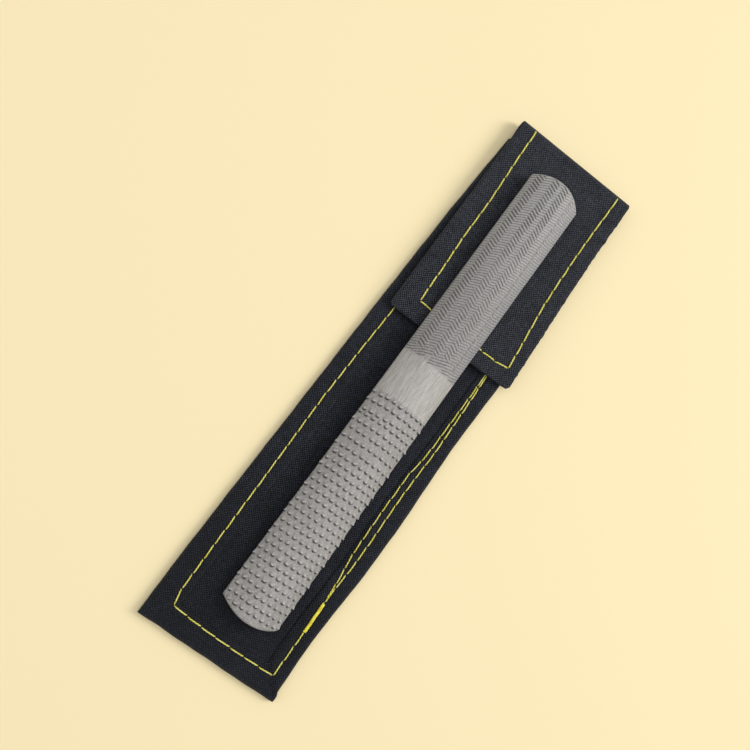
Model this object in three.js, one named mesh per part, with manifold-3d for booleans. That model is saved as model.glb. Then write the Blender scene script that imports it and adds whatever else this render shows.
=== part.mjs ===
// Half-round wood rasp lying on its cloth sheath.
// Millimetres, +Z up. The origin is the centre of the sheath's back face, +Y runs along the sheath
// to the fold of its flap (the fine-cut end of the rasp), and +X is to the right.
import * as THREE from "three";
import { mergeVertices } from "three/addons/utils/BufferGeometryUtils.js";
import Module from "manifold-3d";

// ---- driving dimensions -------------------------------------------------------------------
// rasp
const RASP_LENGTH = 195.8; // overall, apex to apex
const RASP_WIDTH = 22.9;
const RASP_THICK = 6.2; // flat side to crown
const RASP_EDGE = 1.8; // thickness at the long edges
const COARSE_SAG = 3.0; // how far the coarse end's arc bulges
const FINE_SAG = 3.1; // the same at the fine end
const FINE_APEX_X = -0.6; // the fine end's arc sits a little to the left
const TOOTH_HEIGHT = 0.75; // rasp tooth above its pit
const TOOTH_PITCH = 2.79; // across the rasp, in plan
const ROW_SLOPE = 0.033; // the rows lean, further along on the right
const TOOTH_FACE = 0.4; // run of the steep cutting face
// distance of each row of rasp teeth from the coarse apex
const TOOTH_ROWS = [
  2.9, 5.9, 8.8, 11.7, 14.6, 17.5, 20.3, 23.1, 26.0, 29.0, 31.9, 34.9, 37.7, 40.7, 43.5, 46.5, 49.4,
  52.3, 55.3, 58.2, 61.2, 64.1, 67.4, 71.0, 74.6, 77.8, 81.1, 83.4, 86.8, 90.0,
];
const GRIP_BAND = [91.1, 108.5]; // plain band between the two cuts
const RASP_CENTRE = [0.27, 0.3];
const RASP_TURN = 1.13; // degrees about +Z
const RASP_TILT = 1.75; // degrees about +X, the fine end lies on the flap
const RASP_REST_Y = 23; // where the flat side crosses the flap's free edge
const RASP_REST_Z = 6.4;

// cloth
const CLOTH = 0.9; // one thickness of lined cloth
const HEM = 9.3; // width of the hem folded to the front
const SLOT = 1.5; // room between the back cloth and the hem, for the front cloth
const GAP = 0.3;
const FLAP_Z = 5.0; // underside of the flap's outer cloth
const FLAP_HEM = 9.0;
const MOUTH_Y = 90; // pocket mouth, under the flap
const MOUTH_HEM = 10;

// hinge line of the fold
const FOLD_LEFT = [-27.5, 110.4];
const FOLD_RIGHT = [27.5, 114.15];
const FOLD_Z = 3.1;
const FOLD_R = 2.8;

// thread
const THREAD_R = 0.3;
const PATCH_THREAD_R = 0.25;
const STITCH = 6.0;

// closure patches
const LOOP = { x: [-11, 11], y: [34, 64], z: [2.4, 3.2] };
const HOOK = { x: [-9, 9], y: [38, 60], z: [3.7, 4.7] };

// ---- materials ----------------------------------------------------------------------------
const mat = (color, roughness, metalness) =>
  new THREE.MeshStandardMaterial({ color, roughness, metalness });
const steel = mat(0xaaa7a3, 0.42, 1.0);
const cloth = mat(0x25282c, 0.9, 0.0);
const lowerCloth = mat(0x1f2127, 0.92, 0.0);
const thread = mat(0xd6d27a, 0.7, 0.0);
const darkThread = mat(0x1c1c1e, 0.8, 0.0);
const loopPile = mat(0x17181a, 0.97, 0.0);
const hookTape = mat(0x1d1f22, 0.85, 0.0);

// ---- booleans -----------------------------------------------------------------------------
const wasm = await Module();
wasm.setup();

function solid(geometry) {
  const g = new THREE.BufferGeometry();
  const src = geometry.index ? geometry.toNonIndexed() : geometry;
  g.setAttribute("position", src.getAttribute("position").clone());
  const merged = mergeVertices(g, 1e-4);
  let made = new wasm.Manifold(
    new wasm.Mesh({
      numProp: 3,
      vertProperties: new Float32Array(merged.attributes.position.array),
      triVerts: new Uint32Array(merged.index.array),
    }),
  );
  if (made.volume() < 0) {
    const tri = new Uint32Array(merged.index.array);
    for (let i = 0; i < tri.length; i += 3) [tri[i + 1], tri[i + 2]] = [tri[i + 2], tri[i + 1]];
    made = new wasm.Manifold(
      new wasm.Mesh({
        numProp: 3,
        vertProperties: new Float32Array(merged.attributes.position.array),
        triVerts: tri,
      }),
    );
  }
  return made;
}

function geometryOf(manifold) {
  const m = manifold.getMesh();
  const v = new Float32Array(m.numVert * 3);
  for (let i = 0; i < m.numVert; i++)
    for (let k = 0; k < 3; k++) v[3 * i + k] = m.vertProperties[i * m.numProp + k];
  const g = new THREE.BufferGeometry();
  g.setAttribute("position", new THREE.BufferAttribute(v, 3));
  g.setIndex(new THREE.BufferAttribute(new Uint32Array(m.triVerts), 1));
  g.computeVertexNormals();
  return g;
}

// ---- plan shapes --------------------------------------------------------------------------
function plate(points, z0, z1) {
  const g = new THREE.ExtrudeGeometry(new THREE.Shape(points.map((p) => new THREE.Vector2(p[0], p[1]))), {
    depth: z1 - z0,
    bevelEnabled: false,
  });
  return g.translate(0, 0, z0);
}
const box = (b) =>
  plate([[b.x[0], b.y[0]], [b.x[1], b.y[0]], [b.x[1], b.y[1]], [b.x[0], b.y[1]]], b.z[0], b.z[1]);

// y of the fold line at x
const foldY = (x) =>
  FOLD_LEFT[1] + ((x - FOLD_LEFT[0]) * (FOLD_RIGHT[1] - FOLD_LEFT[1])) / (FOLD_RIGHT[0] - FOLD_LEFT[0]);

// outer edge of the sheath's body, moved in by d on its sides and closed end, its open end at `end` below the fold
function bodyOutline(d, end, cut = 2.2) {
  const left = [[-27.6, 107.4], [-28.1, 80], [-28.7, 21.3], [-28.6, -54.7], [-28.05, -116.1]];
  const right = [[28.0, -114.15], [26.95, -94], [27.3, -80], [28.15, -62], [28.35, -42], [27.3, -4], [27.6, 14], [27.9, 30], [27.9, 112.0]];
  const l = left.map(([x, y], i) => [x + d, i === left.length - 1 ? y + d : y]);
  const r = right.map(([x, y], i) => [x - d, i === 0 ? y + d : y]);
  const c = Math.max(0.3, cut - d * 0.3);
  const last = l[l.length - 1];
  const open = r[r.length - 1];
  const pts = [
    [last[0] + c, last[1] + 0.03 * c],
    [r[0][0] - c, r[0][1] - 0.03 * c],
    [r[0][0], r[0][1] + c],
    ...r.slice(1, -1),
    [open[0], foldY(open[0]) - end],
    [l[0][0], foldY(l[0][0]) - end],
    ...l.slice(1, -1),
    [last[0], last[1] + c],
  ];
  return pts;
}

// ---- back cloth with its hem folded to the front ---------------------------------------------
const FOLD_CLEAR = FOLD_R + 0.3;
const back = solid(plate(bodyOutline(0, FOLD_CLEAR), 0, CLOTH));
const hemEnd = 7.5;
const hemRing = (d, z0, z1) =>
  solid(plate(bodyOutline(0, hemEnd), z0, z1)).subtract(solid(plate(bodyOutline(d, -20), z0 - 1, z1 + 1)));
const hemBase = CLOTH + SLOT;
const hemTop = hemBase + CLOTH;
let backPanel = back.add(hemRing(CLOTH, CLOTH - 0.2, hemBase + 0.2)).add(hemRing(HEM, hemBase, hemTop));

// ---- front cloth ----------------------------------------------------------------------------
const frontZ = CLOTH + GAP;
const frontTop = frontZ + CLOTH;
const inner = bodyOutline(CLOTH + GAP, -20);
let frontPanel = solid(plate(inner, frontZ, frontTop)).subtract(
  solid(box({ x: [-60, 60], y: [MOUTH_Y, 200], z: [-5, 20] })),
);
frontPanel = frontPanel.add(
  solid(box({ x: [-18.2, 18.0], y: [MOUTH_Y - MOUTH_HEM, MOUTH_Y], z: [frontTop - 0.2, frontTop + CLOTH] })),
);
const mouthTop = frontTop + CLOTH;

// ---- flap -----------------------------------------------------------------------------------
const flapLeft = [FOLD_LEFT, [-25.3, 21.45]];
const flapRight = [[30.3, 25.25], FOLD_RIGHT];
const flapRightWaist = [[29.9, 36], [29.3, 50], [28.2, 70], [27.6, 88], [27.35, 104]]; // its right edge is slightly hollow
const flapOutline = () => [
  [flapLeft[1][0] + 1.2, flapLeft[1][1]],
  [flapRight[0][0] - 1.2, flapRight[0][1]],
  [flapRight[0][0], flapRight[0][1] + 1.2],
  ...flapRightWaist,
  flapRight[1],
  flapLeft[0],
  [flapLeft[1][0], flapLeft[1][1] + 1.2],
];
const flapTop = FLAP_Z + CLOTH;
const flapHemCut = [
  [flapLeft[1][0] + FLAP_HEM, flapLeft[1][1] + FLAP_HEM],
  [flapRight[0][0] - FLAP_HEM, flapRight[0][1] + FLAP_HEM],
  [flapRight[1][0] - FLAP_HEM, flapRight[1][1] + 20],
  [flapLeft[0][0] + FLAP_HEM, flapLeft[0][1] + 20],
];
const foldDir = new THREE.Vector3(FOLD_RIGHT[0] - FOLD_LEFT[0], FOLD_RIGHT[1] - FOLD_LEFT[1], 0);
const foldLength = foldDir.length();
foldDir.normalize();
const nose = new THREE.CylinderGeometry(FOLD_R, FOLD_R, foldLength, 32)
  .rotateZ(-Math.PI / 2)
  .rotateZ(Math.atan2(foldDir.y, foldDir.x))
  .translate((FOLD_LEFT[0] + FOLD_RIGHT[0]) / 2, (FOLD_LEFT[1] + FOLD_RIGHT[1]) / 2, FOLD_Z);
let flapPanel = solid(plate(flapOutline(), FLAP_Z, flapTop))
  .add(
    solid(plate(flapOutline(), FLAP_Z - CLOTH, FLAP_Z + 0.2)).subtract(
      solid(plate(flapHemCut, FLAP_Z - CLOTH - 1, FLAP_Z + 1)),
    ),
  )
  .add(solid(nose));

// ---- seams ----------------------------------------------------------------------------------
// A seam's centre line: it rises over each stitch and dips where the needle went through.
class Seam extends THREE.Curve {
  constructor(points, z, dip, closed = false) {
    super();
    this.base = new THREE.CatmullRomCurve3(
      points.map((p) => new THREE.Vector3(p[0], p[1], 0)),
      closed,
      "centripetal",
    );
    this.base.arcLengthDivisions = 600;
    this.z = z;
    this.dip = dip;
    this.stitches = Math.max(2, Math.round(this.base.getLength() / STITCH));
  }
  getPoint(t, target = new THREE.Vector3()) {
    const p = this.base.getPointAt(Math.min(1, Math.max(0, t)));
    return target.set(p.x, p.y, this.z - this.dip * 0.5 * (1 + Math.cos(2 * Math.PI * t * this.stitches)));
  }
}
function tube(curve, radius, sides, steps) {
  const ring = [];
  for (let i = 0; i < sides; i++) {
    const a = (2 * Math.PI * (i + 0.5)) / sides;
    ring.push(new THREE.Vector2(radius * Math.cos(a), radius * Math.sin(a)));
  }
  return new THREE.ExtrudeGeometry(new THREE.Shape(ring), { steps, bevelEnabled: false, extrudePath: curve });
}
function seam(points, z, radius, dip = 0.12) {
  const c = new Seam(points, z, dip);
  const steps = c.stitches * 2;
  // the groove runs a little past both ends of the thread
  const ext = points.map((p) => [...p]);
  const grow = (a, b) => {
    const l = Math.hypot(a[0] - b[0], a[1] - b[1]);
    return [a[0] + (0.8 * (a[0] - b[0])) / l, a[1] + (0.8 * (a[1] - b[1])) / l];
  };
  ext[0] = grow(points[0], points[1]);
  ext[ext.length - 1] = grow(points[points.length - 1], points[points.length - 2]);
  const g = new Seam(ext, z, 0);
  return {
    run: solid(tube(c, radius, 6, steps)),
    groove: solid(tube(g, (radius + GAP) / Math.cos(Math.PI / 8) + 0.04, 8, steps)),
  };
}

const pocketSeam = seam(
  [
    [-22.2, 100], [-22.6, 60], [-22.6, 20.3], [-23.2, -18.1], [-22.6, -41.3], [-21.7, -79.8], [-21.2, -102.6],
    [-20.7, -106.4], [-19.4, -107.4], [-13.7, -107.7], [-1.75, -107.85], [11.0, -107.6], [20.3, -107.2],
    [21.9, -106.4], [22.1, -104.5], [21.7, -91.5], [21.35, -83.4], [21.7, -76.2], [22.1, -68.7], [22.5, -57.1],
    [22.0, -39.4], [21.8, -29.1], [22.2, -10.7], [21.7, 8.2], [21.1, 23.7], [21.3, 60], [21.4, 103],
  ],
  hemTop,
  THREAD_R,
);
const secondSeam = seam(
  [[20.8, -70.4], [20.1, -62.9], [19.6, -57.1], [19.2, -41.2], [19.1, -22.5], [20.3, -14.5], [20.4, 1.8], [20.0, 23.7], [19.9, 31]],
  hemTop,
  THREAD_R,
);
const barTack = seam([[22.5, -89.1], [22.55, -83.4], [22.5, -77.7]], hemTop, THREAD_R + 0.08, 0.08);
const flapSeam = seam(
  [
    [-20.9, 106.0], [-20.4, 96.4], [-19.1, 77.8], [-18.7, 58.4], [-17.9, 48.0], [-17.1, 32.0], [-16.6, 29.9], [-15.0, 29.1],
    [-12.1, 29.0], [11.6, 29.7], [19.9, 30.1], [23.9, 31.0], [25.0, 32.0], [24.8, 34.5], [23.6, 46.6], [22.0, 59.8],
    [21.2, 76.9], [20.9, 94.4], [21.0, 108.7],
  ],
  flapTop,
  THREAD_R,
);
const mouthSeam = seam([[-16.4, MOUTH_Y - 7.6], [0, MOUTH_Y - 7.5], [16.2, MOUTH_Y - 7.6]], mouthTop, THREAD_R);
// round a patch, starting and ending near one corner
const round = (b, d) => [
  [b.x[0] + d, b.y[0] + d + 1.2],
  [b.x[0] + d, b.y[1] - d - 0.8],
  [b.x[0] + d + 0.8, b.y[1] - d],
  [b.x[1] - d - 0.8, b.y[1] - d],
  [b.x[1] - d, b.y[1] - d - 0.8],
  [b.x[1] - d, b.y[0] + d + 0.8],
  [b.x[1] - d - 0.8, b.y[0] + d],
  [b.x[0] + d + 1.2, b.y[0] + d],
];
const loopSeam = seam(round(LOOP, 1.3), LOOP.z[1] - 0.05, PATCH_THREAD_R, 0.05);
const hookSeam = seam(round(HOOK, 1.5), HOOK.z[0] + 0.15, PATCH_THREAD_R, 0.0);

backPanel = backPanel.subtract(pocketSeam.groove).subtract(secondSeam.groove).subtract(barTack.groove);
flapPanel = flapPanel.subtract(flapSeam.groove);
frontPanel = frontPanel.subtract(mouthSeam.groove);
const loopPatch = solid(box(LOOP)).subtract(loopSeam.groove);
const hookPatch = solid(box(HOOK)).subtract(hookSeam.groove);

// ---- rasp -------------------------------------------------------------------------------------
// Drawn along +Y with its flat side at z = 0 and its coarse apex at y = 0, then laid on the sheath.
function raspGeometry() {
  const half = RASP_WIDTH / 2;
  const sag = RASP_THICK - RASP_EDGE;
  const crownR = (half * half + sag * sag) / (2 * sag);
  const crownZ = (x) => RASP_THICK - crownR + Math.sqrt(crownR * crownR - x * x);
  const step = TOOTH_PITCH / 3;
  const columns = [];
  const n = Math.floor(half / step);
  for (let i = -n; i <= n; i++) if (Math.abs(i * step) < half - 0.3) columns.push(i * step);
  const xs = [-half, ...columns, half];
  const section = [];
  section.push(new THREE.Vector2(-half, 0), new THREE.Vector2(half, 0));
  for (let i = xs.length - 1; i >= 0; i--) section.push(new THREE.Vector2(xs[i], crownZ(xs[i])));

  // rings along the length: a pit, then the peak of each row
  const rings = [{ y: -2, row: -1 }, { y: 1.5, row: -1 }];
  TOOTH_ROWS.forEach((y, row) => {
    rings.push({ y: y - TOOTH_FACE, row, part: "pit" });
    rings.push({ y, row, part: "peak" });
  });
  rings.push({ y: GRIP_BAND[0], row: -1 }, { y: RASP_LENGTH + 2, row: -1 });

  const g = new THREE.ExtrudeGeometry(new THREE.Shape(section), {
    depth: rings.length - 1,
    steps: rings.length - 1,
    bevelEnabled: false,
  });
  const p = g.attributes.position;
  for (let i = 0; i < p.count; i++) {
    const x = p.getX(i);
    const z = p.getY(i);
    const ring = rings[Math.round(p.getZ(i))];
    let up = 0;
    const onCrown = z > RASP_EDGE - 0.01;
    if (onCrown && ring.row >= 0) {
      const column = Math.round(x / step);
      const phase = (((column - ring.row - 1) % 3) + 3) % 3;
      const edge = Math.abs(x) > half - 0.01;
      if (ring.part === "peak") up = edge ? -0.1 : phase === 0 ? TOOTH_HEIGHT * 0.55 : -TOOTH_HEIGHT * 0.2;
      else up = edge ? -0.1 : -TOOTH_HEIGHT * 0.45;
    }
    p.setXYZ(i, x, ring.y + (ring.row >= 0 ? ROW_SLOPE * x : 0), z + up);
  }
  return g;
}
// plan of the rasp: both ends are arcs
function raspPlan() {
  const half = RASP_WIDTH / 2;
  const arc = (sag, apex) => {
    const r = (half * half + sag * sag) / (2 * sag);
    const pts = [];
    for (let i = -9; i <= 9; i++) {
      const x = (i / 9) * (half + 0.6);
      pts.push([x, r - Math.sqrt(r * r - (x - apex) * (x - apex))]);
    }
    return pts;
  };
  const coarse = arc(COARSE_SAG, 0);
  const fine = arc(FINE_SAG, FINE_APEX_X).reverse().map(([x, y]) => [x, RASP_LENGTH - y]);
  return [...coarse, ...fine];
}
const raspBlade = solid(raspGeometry()).intersect(solid(plate(raspPlan(), -5, 20)));

// ---- scene graph --------------------------------------------------------------------------------
const group = new THREE.Group();
group.name = "wood_rasp_with_sheath";
const add = (parent, name, manifold, material) => {
  const m = new THREE.Mesh(geometryOf(manifold), material);
  m.name = name;
  parent.add(m);
  return m;
};
const pouch = new THREE.Group();
const flap = new THREE.Group();
const rasp = new THREE.Group();
group.add(pouch, flap, rasp);

add(pouch, "back_panel", backPanel, lowerCloth);
add(pouch, "front_panel", frontPanel, cloth);
add(pouch, "pocket_seam_thread", pocketSeam.run, thread);
add(pouch, "second_seam_thread", secondSeam.run, thread);
add(pouch, "bar_tack_thread", barTack.run, thread);
add(pouch, "mouth_hem_thread", mouthSeam.run, thread);
add(pouch, "pocket_loop_patch", loopPatch, loopPile);
add(pouch, "loop_patch_thread", loopSeam.run, darkThread);
add(flap, "flap_panel", flapPanel, cloth);
add(flap, "flap_seam_thread", flapSeam.run, thread);
add(flap, "flap_hook_patch", hookPatch, hookTape);
add(flap, "hook_patch_thread", hookSeam.run, darkThread);

const blade = add(rasp, "rasp_blade", raspBlade, steel);
blade.position.set(0, -RASP_LENGTH / 2, 0);
const tilt = THREE.MathUtils.degToRad(RASP_TILT);
rasp.rotation.order = "ZXY";
rasp.rotation.set(tilt, 0, THREE.MathUtils.degToRad(RASP_TURN));
rasp.position.set(
  RASP_CENTRE[0],
  RASP_CENTRE[1],
  RASP_REST_Z - (RASP_REST_Y - RASP_CENTRE[1]) * Math.tan(tilt),
);

export default group;
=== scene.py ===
import math

import bmesh
import bpy
import numpy as np
from mathutils import Matrix, Vector


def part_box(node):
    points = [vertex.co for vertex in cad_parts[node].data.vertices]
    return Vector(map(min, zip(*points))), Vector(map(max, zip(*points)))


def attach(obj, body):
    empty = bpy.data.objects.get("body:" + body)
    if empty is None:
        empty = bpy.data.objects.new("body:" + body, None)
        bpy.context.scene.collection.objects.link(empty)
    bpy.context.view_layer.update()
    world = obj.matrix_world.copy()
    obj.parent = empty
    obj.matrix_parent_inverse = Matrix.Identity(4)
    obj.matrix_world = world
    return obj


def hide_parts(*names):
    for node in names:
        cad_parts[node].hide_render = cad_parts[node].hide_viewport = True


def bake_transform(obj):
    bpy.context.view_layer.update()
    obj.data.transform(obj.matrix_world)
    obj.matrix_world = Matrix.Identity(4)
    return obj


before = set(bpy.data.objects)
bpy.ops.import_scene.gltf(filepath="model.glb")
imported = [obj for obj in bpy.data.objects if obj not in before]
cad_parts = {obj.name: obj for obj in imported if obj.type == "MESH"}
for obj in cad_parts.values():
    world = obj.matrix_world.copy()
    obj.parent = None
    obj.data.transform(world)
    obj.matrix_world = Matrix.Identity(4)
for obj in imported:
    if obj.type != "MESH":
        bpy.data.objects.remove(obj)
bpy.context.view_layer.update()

# Everything below is in millimetres until a mesh is made.
RNG = np.random.default_rng(20)


# ---------------------------------------------------------------------------------------------
# small tools
# ---------------------------------------------------------------------------------------------
def smooth(a, b, x):
    t = np.clip((np.asarray(x, float) - a) / (b - a), 0, 1)
    return t * t * (3 - 2 * t)


def wob(x, y, seed, scale=1.0, octaves=4):
    """A smooth, repeatable wobble in -1..1 built from a few sine waves."""
    r = np.random.default_rng(seed)
    out = np.zeros(np.broadcast(x, y).shape)
    total = 0.0
    for k in range(octaves):
        f = scale * (1.7**k)
        for _ in range(3):
            a = r.uniform(0, 2 * math.pi)
            ph = r.uniform(0, 2 * math.pi)
            g = f * r.uniform(0.7, 1.3)
            out = out + np.sin((np.cos(a) * x + np.sin(a) * y) * g + ph) / (1.6**k)
            total += 1 / (1.6**k)
    return out / total * 1.6


def polydist(px, py, line):
    """Distance from points to a polyline, and the arc length of the nearest place on it."""
    line = np.asarray(line, float)
    best = np.full(px.shape, 1e9)
    arc = np.zeros(px.shape)
    s = 0.0
    for a, b in zip(line[:-1], line[1:]):
        d = b - a
        n = math.hypot(*d)
        t = np.clip(((px - a[0]) * d[0] + (py - a[1]) * d[1]) / (n * n), 0, 1)
        e = np.hypot(px - a[0] - t * d[0], py - a[1] - t * d[1])
        m = e < best
        best = np.where(m, e, best)
        arc = np.where(m, s + t * n, arc)
        s += n
    return best, arc


def resample(line, count):
    line = np.asarray(line, float)
    seg = np.hypot(*(line[1:] - line[:-1]).T)
    s = np.concatenate([[0], np.cumsum(seg)])
    t = np.linspace(0, s[-1], count)
    return np.stack([np.interp(t, s, line[:, k]) for k in range(line.shape[1])], 1)


def length(line):
    line = np.asarray(line, float)
    return float(np.hypot(*(line[1:] - line[:-1]).T[:2]).sum())


def make(name, verts, faces, attrs=None, smooth_shade=True):
    me = bpy.data.meshes.new(name)
    v = np.asarray(verts, float)
    me.from_pydata((v * 0.001).tolist(), [], [tuple(int(i) for i in f) for f in faces])
    me.update()
    me.polygons.foreach_set("use_smooth", [smooth_shade] * len(me.polygons))
    rest = me.attributes.new("rp", "FLOAT_VECTOR", "POINT")
    rest.data.foreach_set("vector", v.astype(np.float32).ravel())
    normal = np.zeros(len(me.vertices) * 3, np.float32)
    me.vertices.foreach_get("normal", normal)
    rn = me.attributes.new("rn", "FLOAT_VECTOR", "POINT")
    rn.data.foreach_set("vector", normal)
    for key, values in (attrs or {}).items():
        values = np.asarray(values, np.float32)
        if values.ndim == 2:
            a = me.attributes.new(key, "FLOAT_VECTOR", "POINT")
            a.data.foreach_set("vector", values.ravel())
        else:
            a = me.attributes.new(key, "FLOAT", "POINT")
            a.data.foreach_set("value", values)
    me.update()
    o = bpy.data.objects.new(name, me)
    bpy.context.scene.collection.objects.link(o)
    return o


# ---------------------------------------------------------------------------------------------
# measured shapes, row frame
# ---------------------------------------------------------------------------------------------
FOLD_L = np.array([-27.5, 110.4])
FOLD_R = np.array([27.5, 114.15])
FOLD_Z = 3.1
FOLD_DIR = (FOLD_R - FOLD_L) / np.linalg.norm(FOLD_R - FOLD_L)
FOLD_IN = np.array([FOLD_DIR[1], -FOLD_DIR[0]])  # from the fold towards the closed end


def fold_y(x):
    return FOLD_L[1] + (x - FOLD_L[0]) * (FOLD_R[1] - FOLD_L[1]) / (FOLD_R[0] - FOLD_L[0])


LEFT = np.array([[-27.55, 104.4], [-27.75, 95], [-28.1, 83], [-28.5, 65], [-28.6, 47], [-28.65, 29], [-28.7, 11],
                 [-28.65, -7], [-28.6, -31], [-28.6, -61], [-28.5, -91], [-28.35, -103], [-28.15, -109], [-28.05, -116.05]])
RIGHT = np.array([[28.0, -114.15], [28.12, -112.3], [28.0, -111.7], [27.5, -111.2], [27.35, -109.5], [27.15, -103], [26.95, -97], [26.9, -91], [27.0, -85],
                  [27.3, -79], [27.65, -73], [28.0, -67], [28.2, -61], [28.3, -55], [28.35, -43], [28.2, -34], [27.85, -25],
                  [27.5, -16], [27.3, -7], [27.25, 1], [27.5, 11], [27.8, 23], [27.9, 50], [27.85, 107.7]])
BOTTOM = np.array([[-28.05, -116.05], [-24, -115.95], [-20, -115.7], [-12, -115.6], [-8, -115.4], [0, -115.2], [8, -115.0],
                   [16, -114.7], [24, -114.4], [26.6, -114.35], [28.0, -114.15]])

SEAM_LEFT = [(-22.2, 100), (-22.5, 60), (-22.6, 20.3), (-23.2, -18.1), (-22.6, -41.3), (-21.7, -79.8), (-21.2, -102.6), (-20.0, -107.3)]
SEAM_BOTTOM = [(-20.0, -107.3), (-13.7, -107.7), (-1.75, -107.85), (11.0, -107.6), (22.2, -107.0)]
SEAM_RIGHT = [(22.2, -107.0), (22.1, -89.1), (21.8, -77.7), (22.1, -68.7), (22.5, -57.1), (22.0, -39.4), (21.8, -29.1),
              (22.2, -10.7), (21.7, 8.2), (21.1, 23.7), (21.3, 60), (21.4, 103)]
SECOND = [(21.5, -75.5), (21.3, -70.4), (20.3, -62.9), (19.6, -57.1), (19.2, -41.2), (19.1, -22.5), (20.3, -14.5), (20.45, 1.8),
          (20.5, 23.7), (20.4, 31)]
TACK = [(22.1, -89.1), (21.95, -83.4), (21.8, -77.7)]
FLAP_SEAM_L = [(-21.25, 113.4), (-21.2, 112.2), (-20.4, 96.4), (-19.1, 77.8), (-18.7, 58.4), (-17.9, 48.0), (-17.0, 29.3)]
FLAP_SEAM_B = [(-17.0, 29.3), (-12.1, 29.0), (11.6, 29.7), (19.9, 30.1), (25.2, 31.2)]
FLAP_SEAM_R = [(25.2, 31.2), (23.6, 46.6), (22.0, 59.8), (21.2, 76.9), (20.9, 94.4), (21.0, 114.8), (21.0, 116.3)]
MOUTH_Y = 90.0
MOUTH_SEAM = [(-16.6, MOUTH_Y - 7.6), (16.4, MOUTH_Y - 7.6)]


def holes_of(legs, pitch=6.0):
    """Needle holes along a run made of legs that meet at corners."""
    pts = []
    for leg in legs:
        n = max(1, round(length(leg) / pitch))
        p = resample(leg, n + 1)
        pts += list(p if not pts else p[1:])
    return np.array(pts)


H_POCKET = holes_of([SEAM_LEFT, SEAM_BOTTOM, SEAM_RIGHT])
H_SECOND = holes_of([SECOND])
H_TACK = resample(TACK, 3)
H_FLAP = holes_of([FLAP_SEAM_L[1:], FLAP_SEAM_B, FLAP_SEAM_R[:-1]])
H_MOUTH = holes_of([MOUTH_SEAM])


def seam_sink(x, y, holes, depth=0.30, width=0.95, hole=0.16):
    """How far the cloth is pulled down by a seam: a groove along it, deeper at each needle hole, with small puckers."""
    d, _ = polydist(x, y, holes)
    near = d < 4.5
    out = np.zeros(x.shape)
    if not near.any():
        return out
    xs, ys, dn = x[near], y[near], d[near]
    hd = np.full(xs.shape, 1e9)
    for h in holes:
        hd = np.minimum(hd, np.hypot(xs - h[0], ys - h[1]))
    sink = depth * np.exp(-((dn / width) ** 2)) + hole * np.exp(-((hd / 0.7) ** 2))
    sink = sink + 0.10 * np.exp(-((dn / 2.6) ** 2)) * np.exp(-((hd / 2.2) ** 2))
    out[near] = sink
    return out


def settled(x0, x1, y0, y1, step, base, under, held, grow, steps=30):
    """Lets a sheet of cloth, cut a little full, settle between the places that hold it, on what lies under it.
    Gives back a function of x and y: how far the settled sheet stands above its base height, in millimetres."""
    nx = int(round((x1 - x0) / step)) + 1
    ny = int(round((y1 - y0) / step)) + 1
    X, Y = np.meshgrid(np.linspace(x0, x1, nx), np.linspace(y0, y1, ny))
    rise = np.zeros(X.shape)
    S = 0.02  # the solver behaves best on a sheet about a metre long
    start = base + 0.10 * wob(X, Y, 77, 0.22, 3)
    me = bpy.data.meshes.new("settling")
    index = np.arange(nx * ny).reshape(ny, nx)
    quads = np.stack([index[:-1, :-1], index[:-1, 1:], index[1:, 1:], index[1:, :-1]], 2).reshape(-1, 4)
    me.from_pydata((np.stack([X, Y, start], 2).reshape(-1, 3) * S).tolist(), [], quads.tolist())
    sheet = bpy.data.objects.new("settling", me)
    bpy.context.scene.collection.objects.link(sheet)
    group = sheet.vertex_groups.new(name="held")
    group.add([int(i) for i in index[held(X, Y)]], 1.0, "REPLACE")
    mod = sheet.modifiers.new("settling", "CLOTH")
    c = mod.settings
    c.quality = 7
    c.mass = 0.25
    c.tension_stiffness = 25
    c.compression_stiffness = 25
    c.shear_stiffness = 12
    c.bending_stiffness = 0.8
    c.tension_damping = 20
    c.compression_damping = 20
    c.bending_damping = 2
    c.vertex_group_mass = "held"
    c.shrink_min = -grow
    mod.collision_settings.use_collision = True
    mod.collision_settings.distance_min = 0.002
    mod.collision_settings.use_self_collision = False
    mod.point_cache.frame_start = 1
    mod.point_cache.frame_end = steps
    bme = bpy.data.meshes.new("bed")
    pad = 6
    bme.from_pydata([((x0 - pad) * S, (y0 - pad) * S, under * S), ((x1 + pad) * S, (y0 - pad) * S, under * S),
                     ((x1 + pad) * S, (y1 + pad) * S, under * S), ((x0 - pad) * S, (y1 + pad) * S, under * S)], [], [(0, 1, 2, 3)])
    bed = bpy.data.objects.new("bed", bme)
    bpy.context.scene.collection.objects.link(bed)
    bed.modifiers.new("bed", "COLLISION")
    bed.collision.thickness_outer = 0.002
    scene_ = bpy.context.scene
    first = scene_.frame_current
    for f in range(1, steps + 1):
        scene_.frame_set(f)
    ev = sheet.evaluated_get(bpy.context.evaluated_depsgraph_get())
    co = np.zeros(nx * ny * 3, np.float32)
    ev.data.vertices.foreach_get("co", co)
    rise = co.reshape(ny, nx, 3)[:, :, 2] / S - base
    for o, m in ((sheet, me), (bed, bme)):
        bpy.data.objects.remove(o)
        bpy.data.meshes.remove(m)
    scene_.frame_set(first)

    def field(x, y):
        u = np.clip((np.asarray(x, float) - x0) / (x1 - x0) * (nx - 1), 0, nx - 1.001)
        v = np.clip((np.asarray(y, float) - y0) / (y1 - y0) * (ny - 1), 0, ny - 1.001)
        i, j = u.astype(int), v.astype(int)
        fu, fv = u - i, v - j
        return (rise[j, i] * (1 - fu) * (1 - fv) + rise[j, i + 1] * fu * (1 - fv)
                + rise[j + 1, i] * (1 - fu) * fv + rise[j + 1, i + 1] * fu * fv)

    field.rise = rise
    return field


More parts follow.
